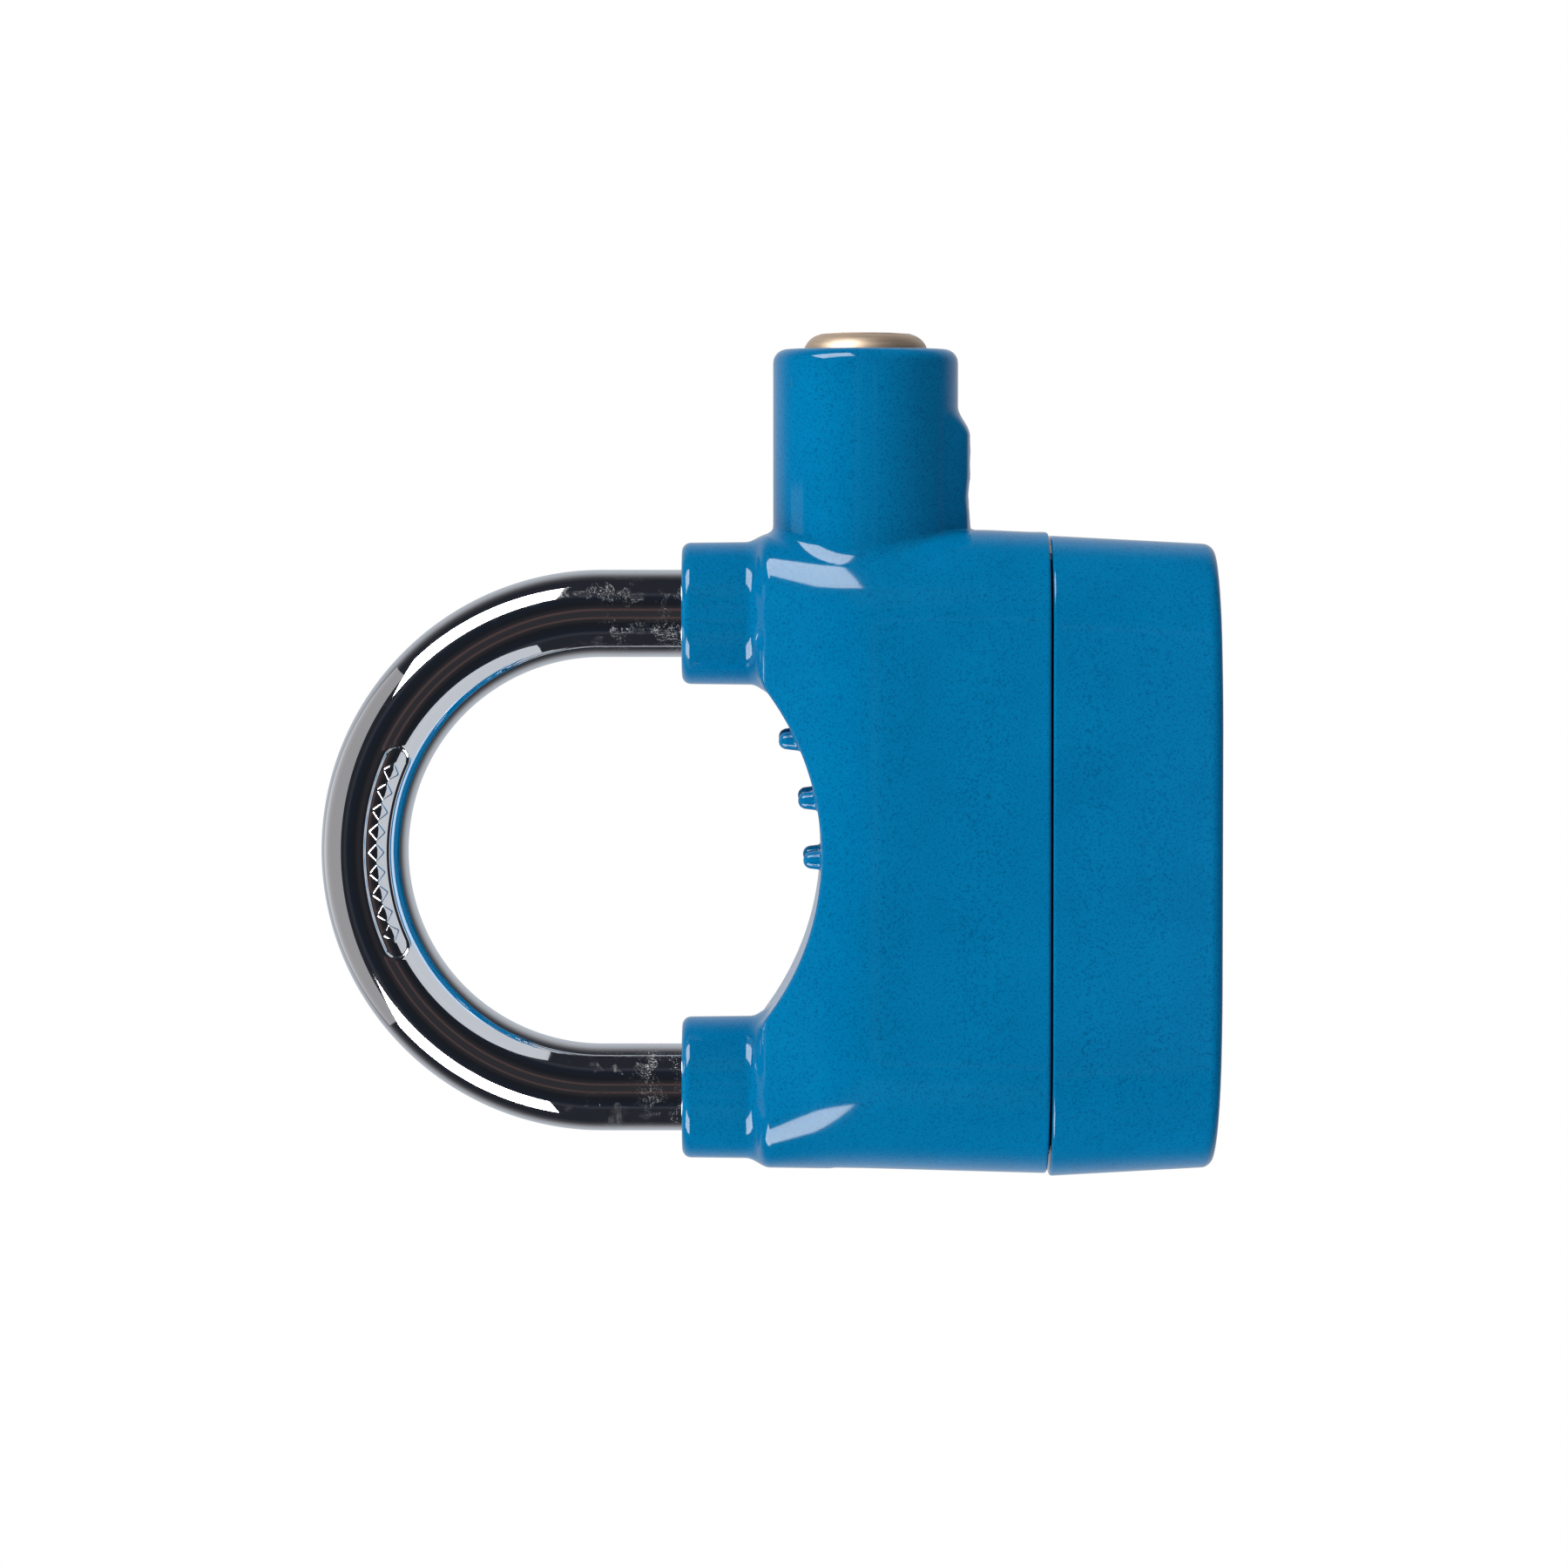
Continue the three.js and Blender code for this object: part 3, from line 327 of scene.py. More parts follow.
def cover_hollow(x, y, z):
    """The cover's inside and the sound holes in its back."""
    hollow = np.maximum(cover_outline(x, y, z, COVER_WALL), COVER_WALL - z)
    low, high = box_mm("siren_disc")
    siren_x, siren_z = (low[0] + high[0]) / 2, (low[2] + high[2]) / 2
    holes = [(siren_x, siren_z)]
    for i in range(6):
        angle = i / 6 * 2 * math.pi
        across, up = SOUND_HOLE_RING * math.cos(angle), SOUND_HOLE_RING * math.sin(angle)
        holes.append((siren_x + across, siren_z + up))
    for hole_x, hole_z in holes:
        hole = bar(x - hole_x, z - hole_z, y, SOUND_HOLE_RADIUS, *SOUND_HOLE_REACH)
        hollow = np.minimum(hollow, hole)
    return hollow


def cover_fixings(x, y, z):
    """The post for the screw and the hook at the other end."""
    post = bar(x - LEG_X, y, z, POST_RADIUS, POST_START, FRAME_LOW[2] - GAP)
    half = HOOK_NOSE_HALF
    outer, inner = (GASKET_LOW[0] + end for end in HOOK_STEM)
    foot_low, foot_high = (SEAM - end for end in HOOK_FOOT)
    nose_low, nose_high = (SEAM + end for end in HOOK_NOSE)
    foot = block(x, y, z, (COVER_LOW[0] + HOOK_ROOT, -half, foot_low), (inner, half, foot_high))
    stem = block(x, y, z, (outer, -half, foot_low), (inner, half, nose_high))
    nose = block(x, y, z, (HOOK_TIP - CASE_HALF, -half, nose_low), (inner, half, nose_high))
    return np.minimum(np.minimum(post, foot), np.minimum(stem, nose))


def cover_shape(x, y, z):
    past_flat = smooth(np.abs(x - COVER_X), BASE_FLAT, COVER_HALF + BASE_FLAT)
    solid = shared(cover_outline(x, y, z, 0), BASE_CROWN * CROWN_SHARE * past_flat - z, BASE_EDGE)
    solid = shared(solid, z - COVER_TOP, SEAM_EDGE)
    solid = shared(solid, -cover_hollow(x, y, z), 0.25)
    screw_room = bar(x - LEG_X, y, z, COVER_SCREW_RADIUS, SCREW_LOW[2] - 2 * GAP, SEAM + 5)
    return shared(np.minimum(solid, cover_fixings(x, y, z)), -screw_room, 0.2)


# ---- Meshing ----

def graded(low, high, cell, fine):
    """Points from low to high, cell apart, or closer inside each (low, high, cell) of fine."""
    points = [low]
    while points[-1] < high:
        step = cell
        for start, end, size in fine:
            if start <= points[-1] < end:
                step = min(step, size)
        points.append(points[-1] + step)
    return np.array(points)


def slope(shape, points):
    """The direction in which the distance grows, at each point."""
    reach = 0.01
    columns = []
    for axis in range(3):
        ahead, behind = points.copy(), points.copy()
        ahead[:, axis] += reach
        behind[:, axis] -= reach
        columns.append((shape(*ahead.T) - shape(*behind.T)) / (2 * reach))
    return np.stack(columns, axis=1)


def skinned(name, shape, low, high, cell, fine):
    """A mesh of the surface where shape is zero, with its normals taken from the shape itself."""
    axes = [graded(low[i], high[i], cell, fine[i]) for i in range(3)]
    x, y, z = (a.astype(np.float32).reshape(s) for a, s in zip(axes, ((-1, 1, 1), (1, -1, 1), (1, 1, -1))))
    values = np.broadcast_to(shape(x, y, z), [len(a) for a in axes]).astype(np.float32)
    grid = openvdb.FloatGrid(4 * cell)
    grid.copyFromArray(np.ascontiguousarray(np.clip(values, -4 * cell, 4 * cell)))
    points, quads = grid.convertToQuads()
    points = np.stack([np.interp(points[:, i], np.arange(len(axes[i])), axes[i]) for i in range(3)], axis=1)
    start = points.copy()
    for _ in range(8):
        towards = slope(shape, points)
        steep = np.maximum((towards**2).sum(axis=1), 0.05)
        points = points - towards * (shape(*points.T) / steep)[:, None] * 0.85
        points = start + np.clip(points - start, -cell, cell)
    normals = slope(shape, points)
    normals /= np.linalg.norm(normals, axis=1)[:, None] + 1e-9
    a, b, c = (points[quads[:, i]] for i in (0, 1, 2))
    facing = (np.cross(b - a, c - b) * normals[quads[:, 1]]).sum()
    if facing < 0:
        quads = quads[:, ::-1]
    return made(name, points, quads.tolist(), normals)


def made(name, points, faces, normals=None):
    """An object from points in millimetres."""
    mesh = bpy.data.meshes.new(name)
    mesh.from_pydata((np.asarray(points) * MM).tolist(), [], faces)
    mesh.validate()
    mesh.shade_smooth()
    if normals is not None:
        mesh.normals_split_custom_set_from_vertices(normals.tolist())
    obj = bpy.data.objects.new(name, mesh)
    bpy.context.scene.collection.objects.link(obj)
    return obj


def revolved(name, profile, segments=128):
    """A closed profile of [x, radius] points turned round the lock cylinder's axis."""
    points, faces = [], []
    count = len(profile)
    for k in range(segments):
        angle = k / segments * 2 * math.pi
        for x, radius in profile:
            points.append((x, radius * math.cos(angle), CYLINDER_Z + radius * math.sin(angle)))
    for k in range(segments):
        here, there = k * count, (k + 1) % segments * count
        for i in range(count):
            j = (i + 1) % count
            faces.append((here + i, here + j, there + j, there + i))
    obj = made(name, points, faces)
    obj.data.set_sharp_from_angle(angle=math.radians(30))
    return obj


def arc(centre_x, centre_r, radius, start, end, steps=10):
    """Profile points round a centre, from one angle to another in degrees. 0 points along +X."""
    points = []
    for i in range(steps + 1):
        angle = math.radians(start + (end - start) * i / steps)
        points.append((centre_x + radius * math.cos(angle), centre_r + radius * math.sin(angle)))
    return points


def cut_by(obj, cutters):
    """Cuts the cutters out of obj and removes them."""
    for cutter in cutters:
        modifier = obj.modifiers.new("cut", "BOOLEAN")
        modifier.operation = "DIFFERENCE"
        modifier.solver = "EXACT"
        modifier.object = cutter
    bpy.context.view_layer.update()
    depsgraph = bpy.context.evaluated_depsgraph_get()
    mesh = bpy.data.meshes.new_from_object(obj.evaluated_get(depsgraph))
    obj.modifiers.clear()
    obj.data = mesh
    for cutter in cutters:
        bpy.data.objects.remove(cutter)


def finish_edges(obj, width, angle=30):
    """Rounds the edges that are sharper than angle and keeps flat faces flat."""
    bevel = obj.modifiers.new("edges", "BEVEL")
    bevel.width = width * MM
    bevel.segments = 2
    bevel.limit_method = "ANGLE"
    bevel.angle_limit = math.radians(angle)
    bevel.harden_normals = True


# ---- Shackle ----

LEG_CHAMFER = 1.0
NOTCH_DEPTH = 1.8
NOTCH_SPAN = (float(PLATE_LOW[2]) - 0.4, float(PLATE_LOW[2]) + 2.4)
PLUNGER_ROOM = (2.0, 2.0)  # radius and depth, in the end of the leg over the mode switch
STAMP_HALF_LENGTH = 12.4
STAMP_HALF_WIDTH = 1.5
STAMP_DEPTH = 0.2
STAMP_SIDE = math.radians(-90 - 19)  # round the rod, from outwards; -90 degrees is the front
LOZENGE_COUNT = 9
LOZENGE_PITCH = 2.35
LOZENGE_REACH = 1.12
STAMP_RADIUS = LEG_X - 1.65  # of the curve that the stamp's length is measured on


def stamp_height(along, across):
    """A sunk stadium with a row of raised lozenges, from lengths along and across the rod."""
    past_end = np.maximum(np.abs(along) - (STAMP_HALF_LENGTH - STAMP_HALF_WIDTH), 0)
    edge = np.hypot(past_end, across) - STAMP_HALF_WIDTH
    height = -STAMP_DEPTH * smooth(edge, 0.0, -0.2)
    height = height + 0.05 * np.exp(-(((edge - 0.1) / 0.12) ** 2))
    for k in range(LOZENGE_COUNT):
        centre = (k - (LOZENGE_COUNT - 1) / 2) * LOZENGE_PITCH
        inside = LOZENGE_REACH - np.abs(along - centre) - np.abs(across)
        height = height + STAMP_DEPTH * 0.95 * smooth(inside, 0.0, 0.3)
    return height


def rod_angles():
    centre = math.degrees(STAMP_SIDE) % 360
    reach = math.degrees(STAMP_HALF_WIDTH / ROD_RADIUS) + 4
    coarse = np.arange(0, 360, 4.0)
    kept = coarse[np.abs(coarse - centre) > reach + 1]
    return np.radians(np.sort(np.concatenate([kept, np.arange(centre - reach, centre + reach, 1.0)])))


def make_shackle():
    around = rod_angles()
    rings = []

    def ring(x, z, out, radius, flat=None, height=0.0):
        reach = (radius + height) * np.cos(around)
        deep = (radius + height) * np.sin(around)
        if flat:
            deep = np.clip(deep, -flat, flat)
        rings.append(np.stack([x + reach * out[0], deep, z + reach * out[1]], axis=1))

    flat = ROD_RADIUS - NOTCH_DEPTH
    room_radius, room_depth = PLUNGER_ROOM

    def leg(side):
        """A leg's rings from its end up to the bow."""
        x, out = side * LEG_X, (side, 0)
        if side < 0:
            ring(x, LEG_END + room_depth, out, 0.02)
            ring(x, LEG_END + room_depth, out, room_radius)
            ring(x, LEG_END + 0.1, out, room_radius)
            ring(x, LEG_END, out, room_radius + 0.1)
        else:
            ring(x, LEG_END, out, 0.02)
        for step in range(6):
            angle = math.radians(18 * step)
            inset = LEG_CHAMFER * (1 - math.sin(angle))
            ring(x, LEG_END + LEG_CHAMFER * (1 - math.cos(angle)), out, ROD_RADIUS - inset)
        for z, cut in ((NOTCH_SPAN[0] - 0.01, None), (NOTCH_SPAN[0], flat), (NOTCH_SPAN[1], flat)):
            ring(x, z, out, ROD_RADIUS, cut)
        for z in np.linspace(NOTCH_SPAN[1] + 0.01, BOW_HEIGHT, 14)[:-1]:
            ring(x, z, out, ROD_RADIUS)

    leg(1)
    stamp_reach = math.degrees((STAMP_HALF_LENGTH + 0.6) / STAMP_RADIUS)
    turns = np.concatenate([
        np.arange(0, 90 - stamp_reach, 1.5),
        np.arange(90 - stamp_reach, 90 + stamp_reach, 0.28),
        np.linspace(90 + stamp_reach, 180, 42),
    ])
    across = (around - STAMP_SIDE + math.pi) % (2 * math.pi) - math.pi
    for turn in turns:
        angle = math.radians(turn)
        out = (math.cos(angle), math.sin(angle))
        along = (angle - math.pi / 2) * STAMP_RADIUS
        height = stamp_height(np.full_like(across, along), across * ROD_RADIUS)
        ring(LEG_X * out[0], BOW_HEIGHT + LEG_X * out[1], out, ROD_RADIUS, None, height)
    first_half = len(rings)
    leg(-1)
    rings[first_half:] = rings[first_half:][::-1]
    count = len(around)
    points = np.concatenate(rings)
    faces = []
    for r in range(len(rings) - 1):
        for i in range(count):
            j = (i + 1) % count
            faces.append((r * count + i, r * count + j, (r + 1) * count + j, (r + 1) * count + i))
    faces.append(tuple(reversed(range(count))))
    faces.append(tuple(range(len(points) - count, len(points))))
    obj = made("shackle_rod", points, faces)
    outwards(obj)
    obj.data.set_sharp_from_angle(angle=math.radians(40))
    return obj


def outwards(obj):
    """Turns every face of a closed mesh to point out."""
    mesh = bmesh.new()
    mesh.from_mesh(obj.data)
    bmesh.ops.recalc_face_normals(mesh, faces=mesh.faces)
    mesh.to_mesh(obj.data)
    mesh.free()


# ---- Lock cylinder ----

SHELL_RIM = 2.4
PLUG_RADIUS = float(PLUG_HIGH[2] - PLUG_LOW[2]) / 2
TURNING_GAP = 0.12
KEYWAY = (-2.4, 4.1, 1.3)  # towards the pins, away from them, and its width
TAIL_LENGTH = 1.9
TAIL_RADIUS = PLUG_RADIUS - 0.9
CLIP_GROOVE = (3.4, 0.9)  # its radius and width
PIN_HOLE_RADIUS = 1.2
CRANK_RADIUS = 0.8
CRANK_OFFSET = 0.95


def make_shell():
    inner = PLUG_RADIUS + TURNING_GAP
    low, high = float(SHELL_LOW[0]), float(SHELL_HIGH[0])
    profile = [(low, inner), (low, SHELL_RADIUS)]
    profile += arc(high - SHELL_RIM, SHELL_RADIUS - SHELL_RIM, SHELL_RIM, 90, 0, 14)[:-1]
    profile += [(high, SHELL_RADIUS - SHELL_RIM), (high, inner + 0.15), (high - 0.15, inner)]
    obj = revolved("cylinder_front_shell", profile)
    outwards(obj)
    return obj


def cylinder_cutter(radius, start, end):
    mesh = bmesh.new()
    bmesh.ops.create_cone(mesh, cap_ends=True, segments=32, radius1=radius * MM, radius2=radius * MM,
                          depth=(end - start).length * MM)
    turn = (end - start).to_track_quat("Z", "Y").to_matrix().to_4x4()
    bmesh.ops.transform(mesh, matrix=Matrix.Translation((start + end) / 2 * MM) @ turn, verts=mesh.verts)
    return from_bmesh("cutter", mesh)


def from_bmesh(name, mesh):
    data = bpy.data.meshes.new(name)
    mesh.to_mesh(data)
    mesh.free()
    obj = bpy.data.objects.new(name, data)
    bpy.context.scene.collection.objects.link(obj)
    return obj


def prism(name, outline, low, high):
    """A YZ outline drawn out along X."""
    count = len(outline)
    points = [(x, y, z) for x in (low, high) for y, z in outline]
    faces = [tuple(reversed(range(count))), tuple(range(count, 2 * count))]
    faces += [(i, (i + 1) % count, count + (i + 1) % count, count + i) for i in range(count)]
    obj = made(name, points, faces)
    outwards(obj)
    return obj


def make_plug():
    """The key plug, turned to open: its pins face the front and its keyway lies level."""
    tail, neck = float(PLUG_LOW[0]) + TAIL_LENGTH, float(SHELL_LOW[0]) - 1
    front = float(PLUG_HIGH[0])
    groove_radius, groove_width = CLIP_GROOVE
    profile = [
        (tail, 0.05), (tail, TAIL_RADIUS), (neck, TAIL_RADIUS), (neck, groove_radius),
        (neck + groove_width, groove_radius), (neck + groove_width, PLUG_RADIUS), (front - 0.35, PLUG_RADIUS),
        (front - 0.12, PLUG_RADIUS - 0.25), (front - 0.02, PLUG_RADIUS - 1.6), (front, 0.05),
    ]
    plug = revolved("key_plug_turned", profile)
    outwards(plug)
    near, far, width = KEYWAY
    half = width / 2
    warded = [
        (near, -half), (-0.9, -half), (-0.6, -0.1), (0.5, -0.1), (0.8, -half), (far, -half),
        (far, half), (2.6, half), (2.3, 0.15), (1.5, 0.15), (1.2, half), (near, half),
    ]
    keyway = prism("cutter", [(y, CYLINDER_Z + z) for y, z in warded], float(SHELL_LOW[0]) + 0.4, front + 1)
    cutters = [keyway]
    for x in CHAMBER_X:
        start, end = Vector((x, -PLUG_RADIUS - 1, CYLINDER_Z)), Vector((x, -1, CYLINDER_Z))
        cutters.append(cylinder_cutter(PIN_HOLE_RADIUS, start, end))
    cut_by(plug, cutters)
    finish_edges(plug, 0.08)
    crank_z = CYLINDER_Z - CRANK_OFFSET
    start = Vector((float(PLUG_LOW[0]), -CRANK_OFFSET, crank_z))
    crank = cylinder_cutter(CRANK_RADIUS, start, Vector((tail + 0.3, -CRANK_OFFSET, crank_z)))
    crank.name = "plug_crank_pin"
    finish_edges(crank, 0.1)
    return plug, crank


# ---- Materials ----

class Shading:
    """A material's nodes. Textures use the object's own metres, so sizes are in real lengths."""

    def __init__(self, name, colour, roughness, metallic=0.0, **sockets):
        self.material = bpy.data.materials.new(name)
        self.material.use_nodes = True
        self.tree = self.material.node_tree
        self.shader = self.tree.nodes["Principled BSDF"]
        self.place = self.add("ShaderNodeTexCoord").outputs["Object"]
        self.set("Base Color", (*colour, 1))
        self.set("Roughness", roughness)
        self.set("Metallic", metallic)
        for socket, value in sockets.items():
            self.set(socket.replace("_", " "), value)

    def add(self, kind, **inputs):
        node = self.tree.nodes.new(kind)
        for socket, value in inputs.items():
            self.feed(node.inputs[socket.replace("_", " ")], value)
        return node

    def feed(self, socket, value):
        if isinstance(value, bpy.types.NodeSocket):
            self.tree.links.new(value, socket)
        else:
            socket.default_value = value

    def set(self, socket, value):
        self.feed(self.shader.inputs[socket], value)

    def noise(self, size, detail=3.0, vector=None):
        """Noise whose features are about size millimetres across."""
        node = self.add("ShaderNodeTexNoise", Scale=1 / (size * MM), Detail=detail)
        self.feed(node.inputs["Vector"], vector or self.place)
        return node.outputs["Fac"]

    def ramp(self, value, stops):
        node = self.add("ShaderNodeValToRGB", Fac=value)
        ramp = node.color_ramp
        while len(ramp.elements) < len(stops):
            ramp.elements.new(0.5)
        for element, (position, colour) in zip(ramp.elements, stops):
            element.position = position
            element.color = (*colour, 1)
        return node.outputs["Color"]

    def between(self, value, low, high, out_low, out_high):
        node = self.add("ShaderNodeMapRange", Value=value, From_Min=low, From_Max=high)
        node.inputs["To Min"].default_value = out_low
        node.inputs["To Max"].default_value = out_high
        return node.outputs["Result"]

    def mixed(self, factor, a, b, blend="MIX"):
        node = self.tree.nodes.new("ShaderNodeMix")
        node.data_type = "RGBA"
        node.blend_type = blend
        self.feed(node.inputs[0], factor)
        self.feed(node.inputs[6], a)
        self.feed(node.inputs[7], b)
        return node.outputs[2]

    def math(self, operation, a, b=0.0):
        node = self.tree.nodes.new("ShaderNodeMath")
        node.operation = operation
        self.feed(node.inputs[0], a)
        self.feed(node.inputs[1], b)
        return node.outputs[0]

    def bump(self, height, depth, strength=1.0, under=None):
        """Surface relief, depth millimetres from the lowest to the highest."""
        node = self.add("ShaderNodeBump", Height=height, Distance=depth * MM, Strength=strength)
        if under:
            self.feed(node.inputs["Normal"], under)
        return node.outputs["Normal"]

    def stretched(self, scale):
        node = self.add("ShaderNodeMapping", Vector=self.place)
        node.inputs["Scale"].default_value = scale
        return node.outputs["Vector"]


def blue_enamel():
    """Glossy enamel over a blue ground with fine dark flecks."""
    look = Shading("blue_enamel", (0.001, 0.1, 0.26), 0.5, Coat_Weight=1.0, Coat_Roughness=0.085)
    look.set("Specular IOR Level", 0.0)
    flecks = look.noise(0.22, 1.0)
    clouds = look.noise(9.0, 3.0)
    ground = look.ramp(clouds, [(0.35, (0.0001, 0.165, 0.37)), (0.65, (0.0001, 0.18, 0.4))])
    dark = look.ramp(flecks, [(0.28, (0.5, 0.62, 0.68)), (0.5, (1, 1, 1))])
    look.set("Base Color", look.mixed(1.0, ground, dark, "MULTIPLY"))
    relief = look.bump(look.noise(1.3, 1.0), 0.0014)
    look.set("Normal", relief)
    look.set("Coat Normal", relief)
    return look.material


def chrome_plate():
    """Bright plating, with faint polishing lines and a few rubbed patches."""
    look = Shading("chrome_plate", (0.86, 0.865, 0.875), 0.035, 1.0)
    split = look.add("ShaderNodeSeparateXYZ", Vector=look.place)
    legs = look.between(split.outputs["Z"], (BOW_HEIGHT + 5) * MM, (BOW_HEIGHT - 1) * MM, 0.0, 1.0)
    patches = look.between(look.noise(2.2, 2.0), 0.42, 0.66, 0.0, 1.0)
    specks = look.between(look.noise(0.09, 2.0, look.stretched((1, 1, 0.5))), 0.6, 0.68, 0.0, 1.0)
    rubbed = look.math("MULTIPLY", look.math("MULTIPLY", legs, patches), specks)
    haze = look.between(look.noise(2.2, 5.0), 0.45, 0.75, 0.02, 0.08)
    look.set("Roughness", look.math("ADD", haze, look.math("MULTIPLY", rubbed, 0.25)))
    lines = look.noise(0.16, 3.0, look.stretched((1, 1, 0.06)))
    wobble = look.bump(look.noise(5.0, 1.0), 0.006)
    scratched = look.bump(rubbed, 0.006, 1.0, wobble)
    look.set("Normal", look.bump(lines, 0.0005, 1.0, scratched))
    return look.material


def turned_brass():
    """Brass with faint turning rings round the lock cylinder's axis."""
    look = Shading("turned_brass", (0.7, 0.53, 0.36), 0.45, 0.85)
    split = look.add("ShaderNodeSeparateXYZ", Vector=look.place)
    up = look.math("SUBTRACT", split.outputs["Z"], CYLINDER_Z * MM)
    squared = look.math("ADD", look.math("POWER", split.outputs["Y"], 2.0), look.math("POWER", up, 2.0))
    radius = look.math("SQRT", squared)
    rings = look.noise(0.5, 2.0, radius)
    tint = look.ramp(look.noise(3.0, 3.0), [(0.35, (0.74, 0.56, 0.41)), (0.7, (0.8, 0.63, 0.47))])
    look.set("Base Color", tint)
    look.set("Roughness", look.between(rings, 0.3, 0.7, 0.42, 0.52))
    look.set("Normal", look.bump(rings, 0.003))
    return look.material


def plain_metal(name, dark, light, roughness, grain, depth):
    look = Shading(name, light, roughness, 1.0)
    tone = look.noise(grain * 6, 4.0)
    look.set("Base Color", look.ramp(tone, [(0.3, dark), (0.7, light)]))
    wear = look.noise(grain * 2, 4.0)
    look.set("Roughness", look.between(wear, 0.3, 0.7, roughness * 0.75, roughness * 1.3))
    look.set("Normal", look.bump(look.noise(grain, 4.0), depth))
    return look.material


def moulded(name, dark, light, roughness, grain=0.18, depth=0.006):
    look = Shading(name, light, roughness)
    look.set("Base Color", look.ramp(look.noise(grain * 12, 3.0), [(0.3, dark), (0.7, light)]))
    wear = look.noise(grain * 3, 3.0)
    look.set("Roughness", look.between(wear, 0.3, 0.7, roughness * 0.85, roughness * 1.15))
    look.set("Normal", look.bump(look.noise(grain, 2.0), depth))
    return look.material


def laminate():
    """Green solder mask over faint straight tracks."""
    look = Shading("laminate", (0.02, 0.12, 0.05), 0.35, Coat_Weight=0.4)
    bricks = look.add("ShaderNodeTexBrick", Vector=look.place, Scale=1 / (6 * MM))
    bricks.inputs["Color1"].default_value = (0.012, 0.1, 0.04, 1)
    bricks.inputs["Color2"].default_value = (0.016, 0.13, 0.05, 1)
    bricks.inputs["Mortar"].default_value = (0.05, 0.26, 0.09, 1)
    bricks.inputs["Mortar Size"].default_value = 0.04
    look.set("Base Color", bricks.outputs["Color"])
    look.set("Normal", look.bump(bricks.outputs["Fac"], 0.03))
    return look.material


MATERIALS = {
    "blue_paint": blue_enamel(),
    "chrome": chrome_plate(),
    "brass": turned_brass(),
    "steel": plain_metal("zinc_plated_steel", (0.4, 0.41, 0.43), (0.62, 0.63, 0.65), 0.32, 0.2, 0.003),
    "cast_zinc": plain_metal("cast_zinc", (0.3, 0.31, 0.33), (0.48, 0.49, 0.51), 0.5, 0.35, 0.015),
    "nickel": plain_metal("nickel_plate", (0.6, 0.59, 0.56), (0.76, 0.75, 0.72), 0.22, 0.3, 0.002),
    "rubber": moulded("black_rubber", (0.008, 0.008, 0.009), (0.02, 0.02, 0.021), 0.8),
    "black_plastic": moulded("black_plastic", (0.012, 0.012, 0.014), (0.025, 0.026, 0.03), 0.5),
    "white_plastic": moulded("white_plastic", (0.62, 0.6, 0.55), (0.72, 0.7, 0.66), 0.45),
    "board": laminate(),
}


def dress(obj, slot):
    obj.data.materials.clear()
    obj.data.materials.append(MATERIALS[slot])


SLOT_OF = {part["node"]: part["material_slot"] for part in frame["record"]["subparts"]}
for node_name, node_object in frame["nodes"].items():
    dress(node_object, SLOT_OF[node_name])


# ---- Visible pieces ----

def stand_in(obj, body, slot, *nodes):
    dress(obj, slot)
    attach(obj, body)
    if nodes:
        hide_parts(*nodes)


MARGIN = 1.0
SEAM_ZONE = (CASE_BOTTOM - 0.8, CASE_BOTTOM + 0.8, 0.16)
CELL = 0.42
case = skinned(
    "upper_case_casting",
    case_shape,
    CASE_LOW - MARGIN,
    CASE_HIGH + MARGIN,
    CELL,
    (
        [(-1.8, 14.0, 0.3)],
        [(-8.4, -5.6, 0.3), (5.6, 8.4, 0.3)],
        [SEAM_ZONE, (45.5, 54, 0.32), (COLLAR_TOP - 1.2, COLLAR_TOP + 0.4, 0.25)],
    ),
)
stand_in(case, "case", "blue_paint", "upper_case")

cover = skinned(
    "lower_cover_casting",
    cover_shape,
    COVER_LOW - MARGIN,
    COVER_HIGH + MARGIN,
    CELL,
    ([], [], [(COVER_TOP - 0.8, COVER_TOP + 0.6, 0.16), (-0.5, 1.6, 0.25)]),
)
stand_in(cover, "case", "blue_paint", "lower_cover")

stand_in(make_shackle(), "shackle", "chrome", "shackle")
stand_in(make_shell(), "case", "brass", "cylinder_shell")
key_plug, crank_pin = make_plug()
stand_in(key_plug, "key_plug", "brass", "key_plug")
stand_in(crank_pin, "key_plug", "brass")


# ---- Studio ----

FLOOR_FRONT = 0.1
FLOOR_REACH = 0.6
SOFTBOX_AZIMUTH = 65  # from the front, to either side
SOFTBOX_ELEVATION = 31
SOFTBOX_DISTANCE = 0.8
SOFTBOX_SIZE = (0.42, 0.56)
SOFTBOX_POWER = 5.9
FILL_AZIMUTH = 38
FILL_ELEVATION = 8
FILL_DISTANCE = 1.0
FILL_SIZE = (0.4, 0.4)
FILL_POWER = 1.6
BACK_FILL_POWER = 5.0
CARD_UPPER = {"place": (0, 0.001, COLLAR_TOP * MM + 0.059), "size": (0.084, 0.03), "faces_up": False}
CARD_LOWER = {"place": (0, -0.0335, COLLAR_TOP * MM - 0.006), "size": (0.13, 0.053), "faces_up": True}
CAMERA_PLACE = Vector((0.04, -0.75, 0.0496))
CAMERA_TARGET = Vector((0.00765, 0, 0.0496))
CENTRE = Vector((0.008, 0, 0.05))


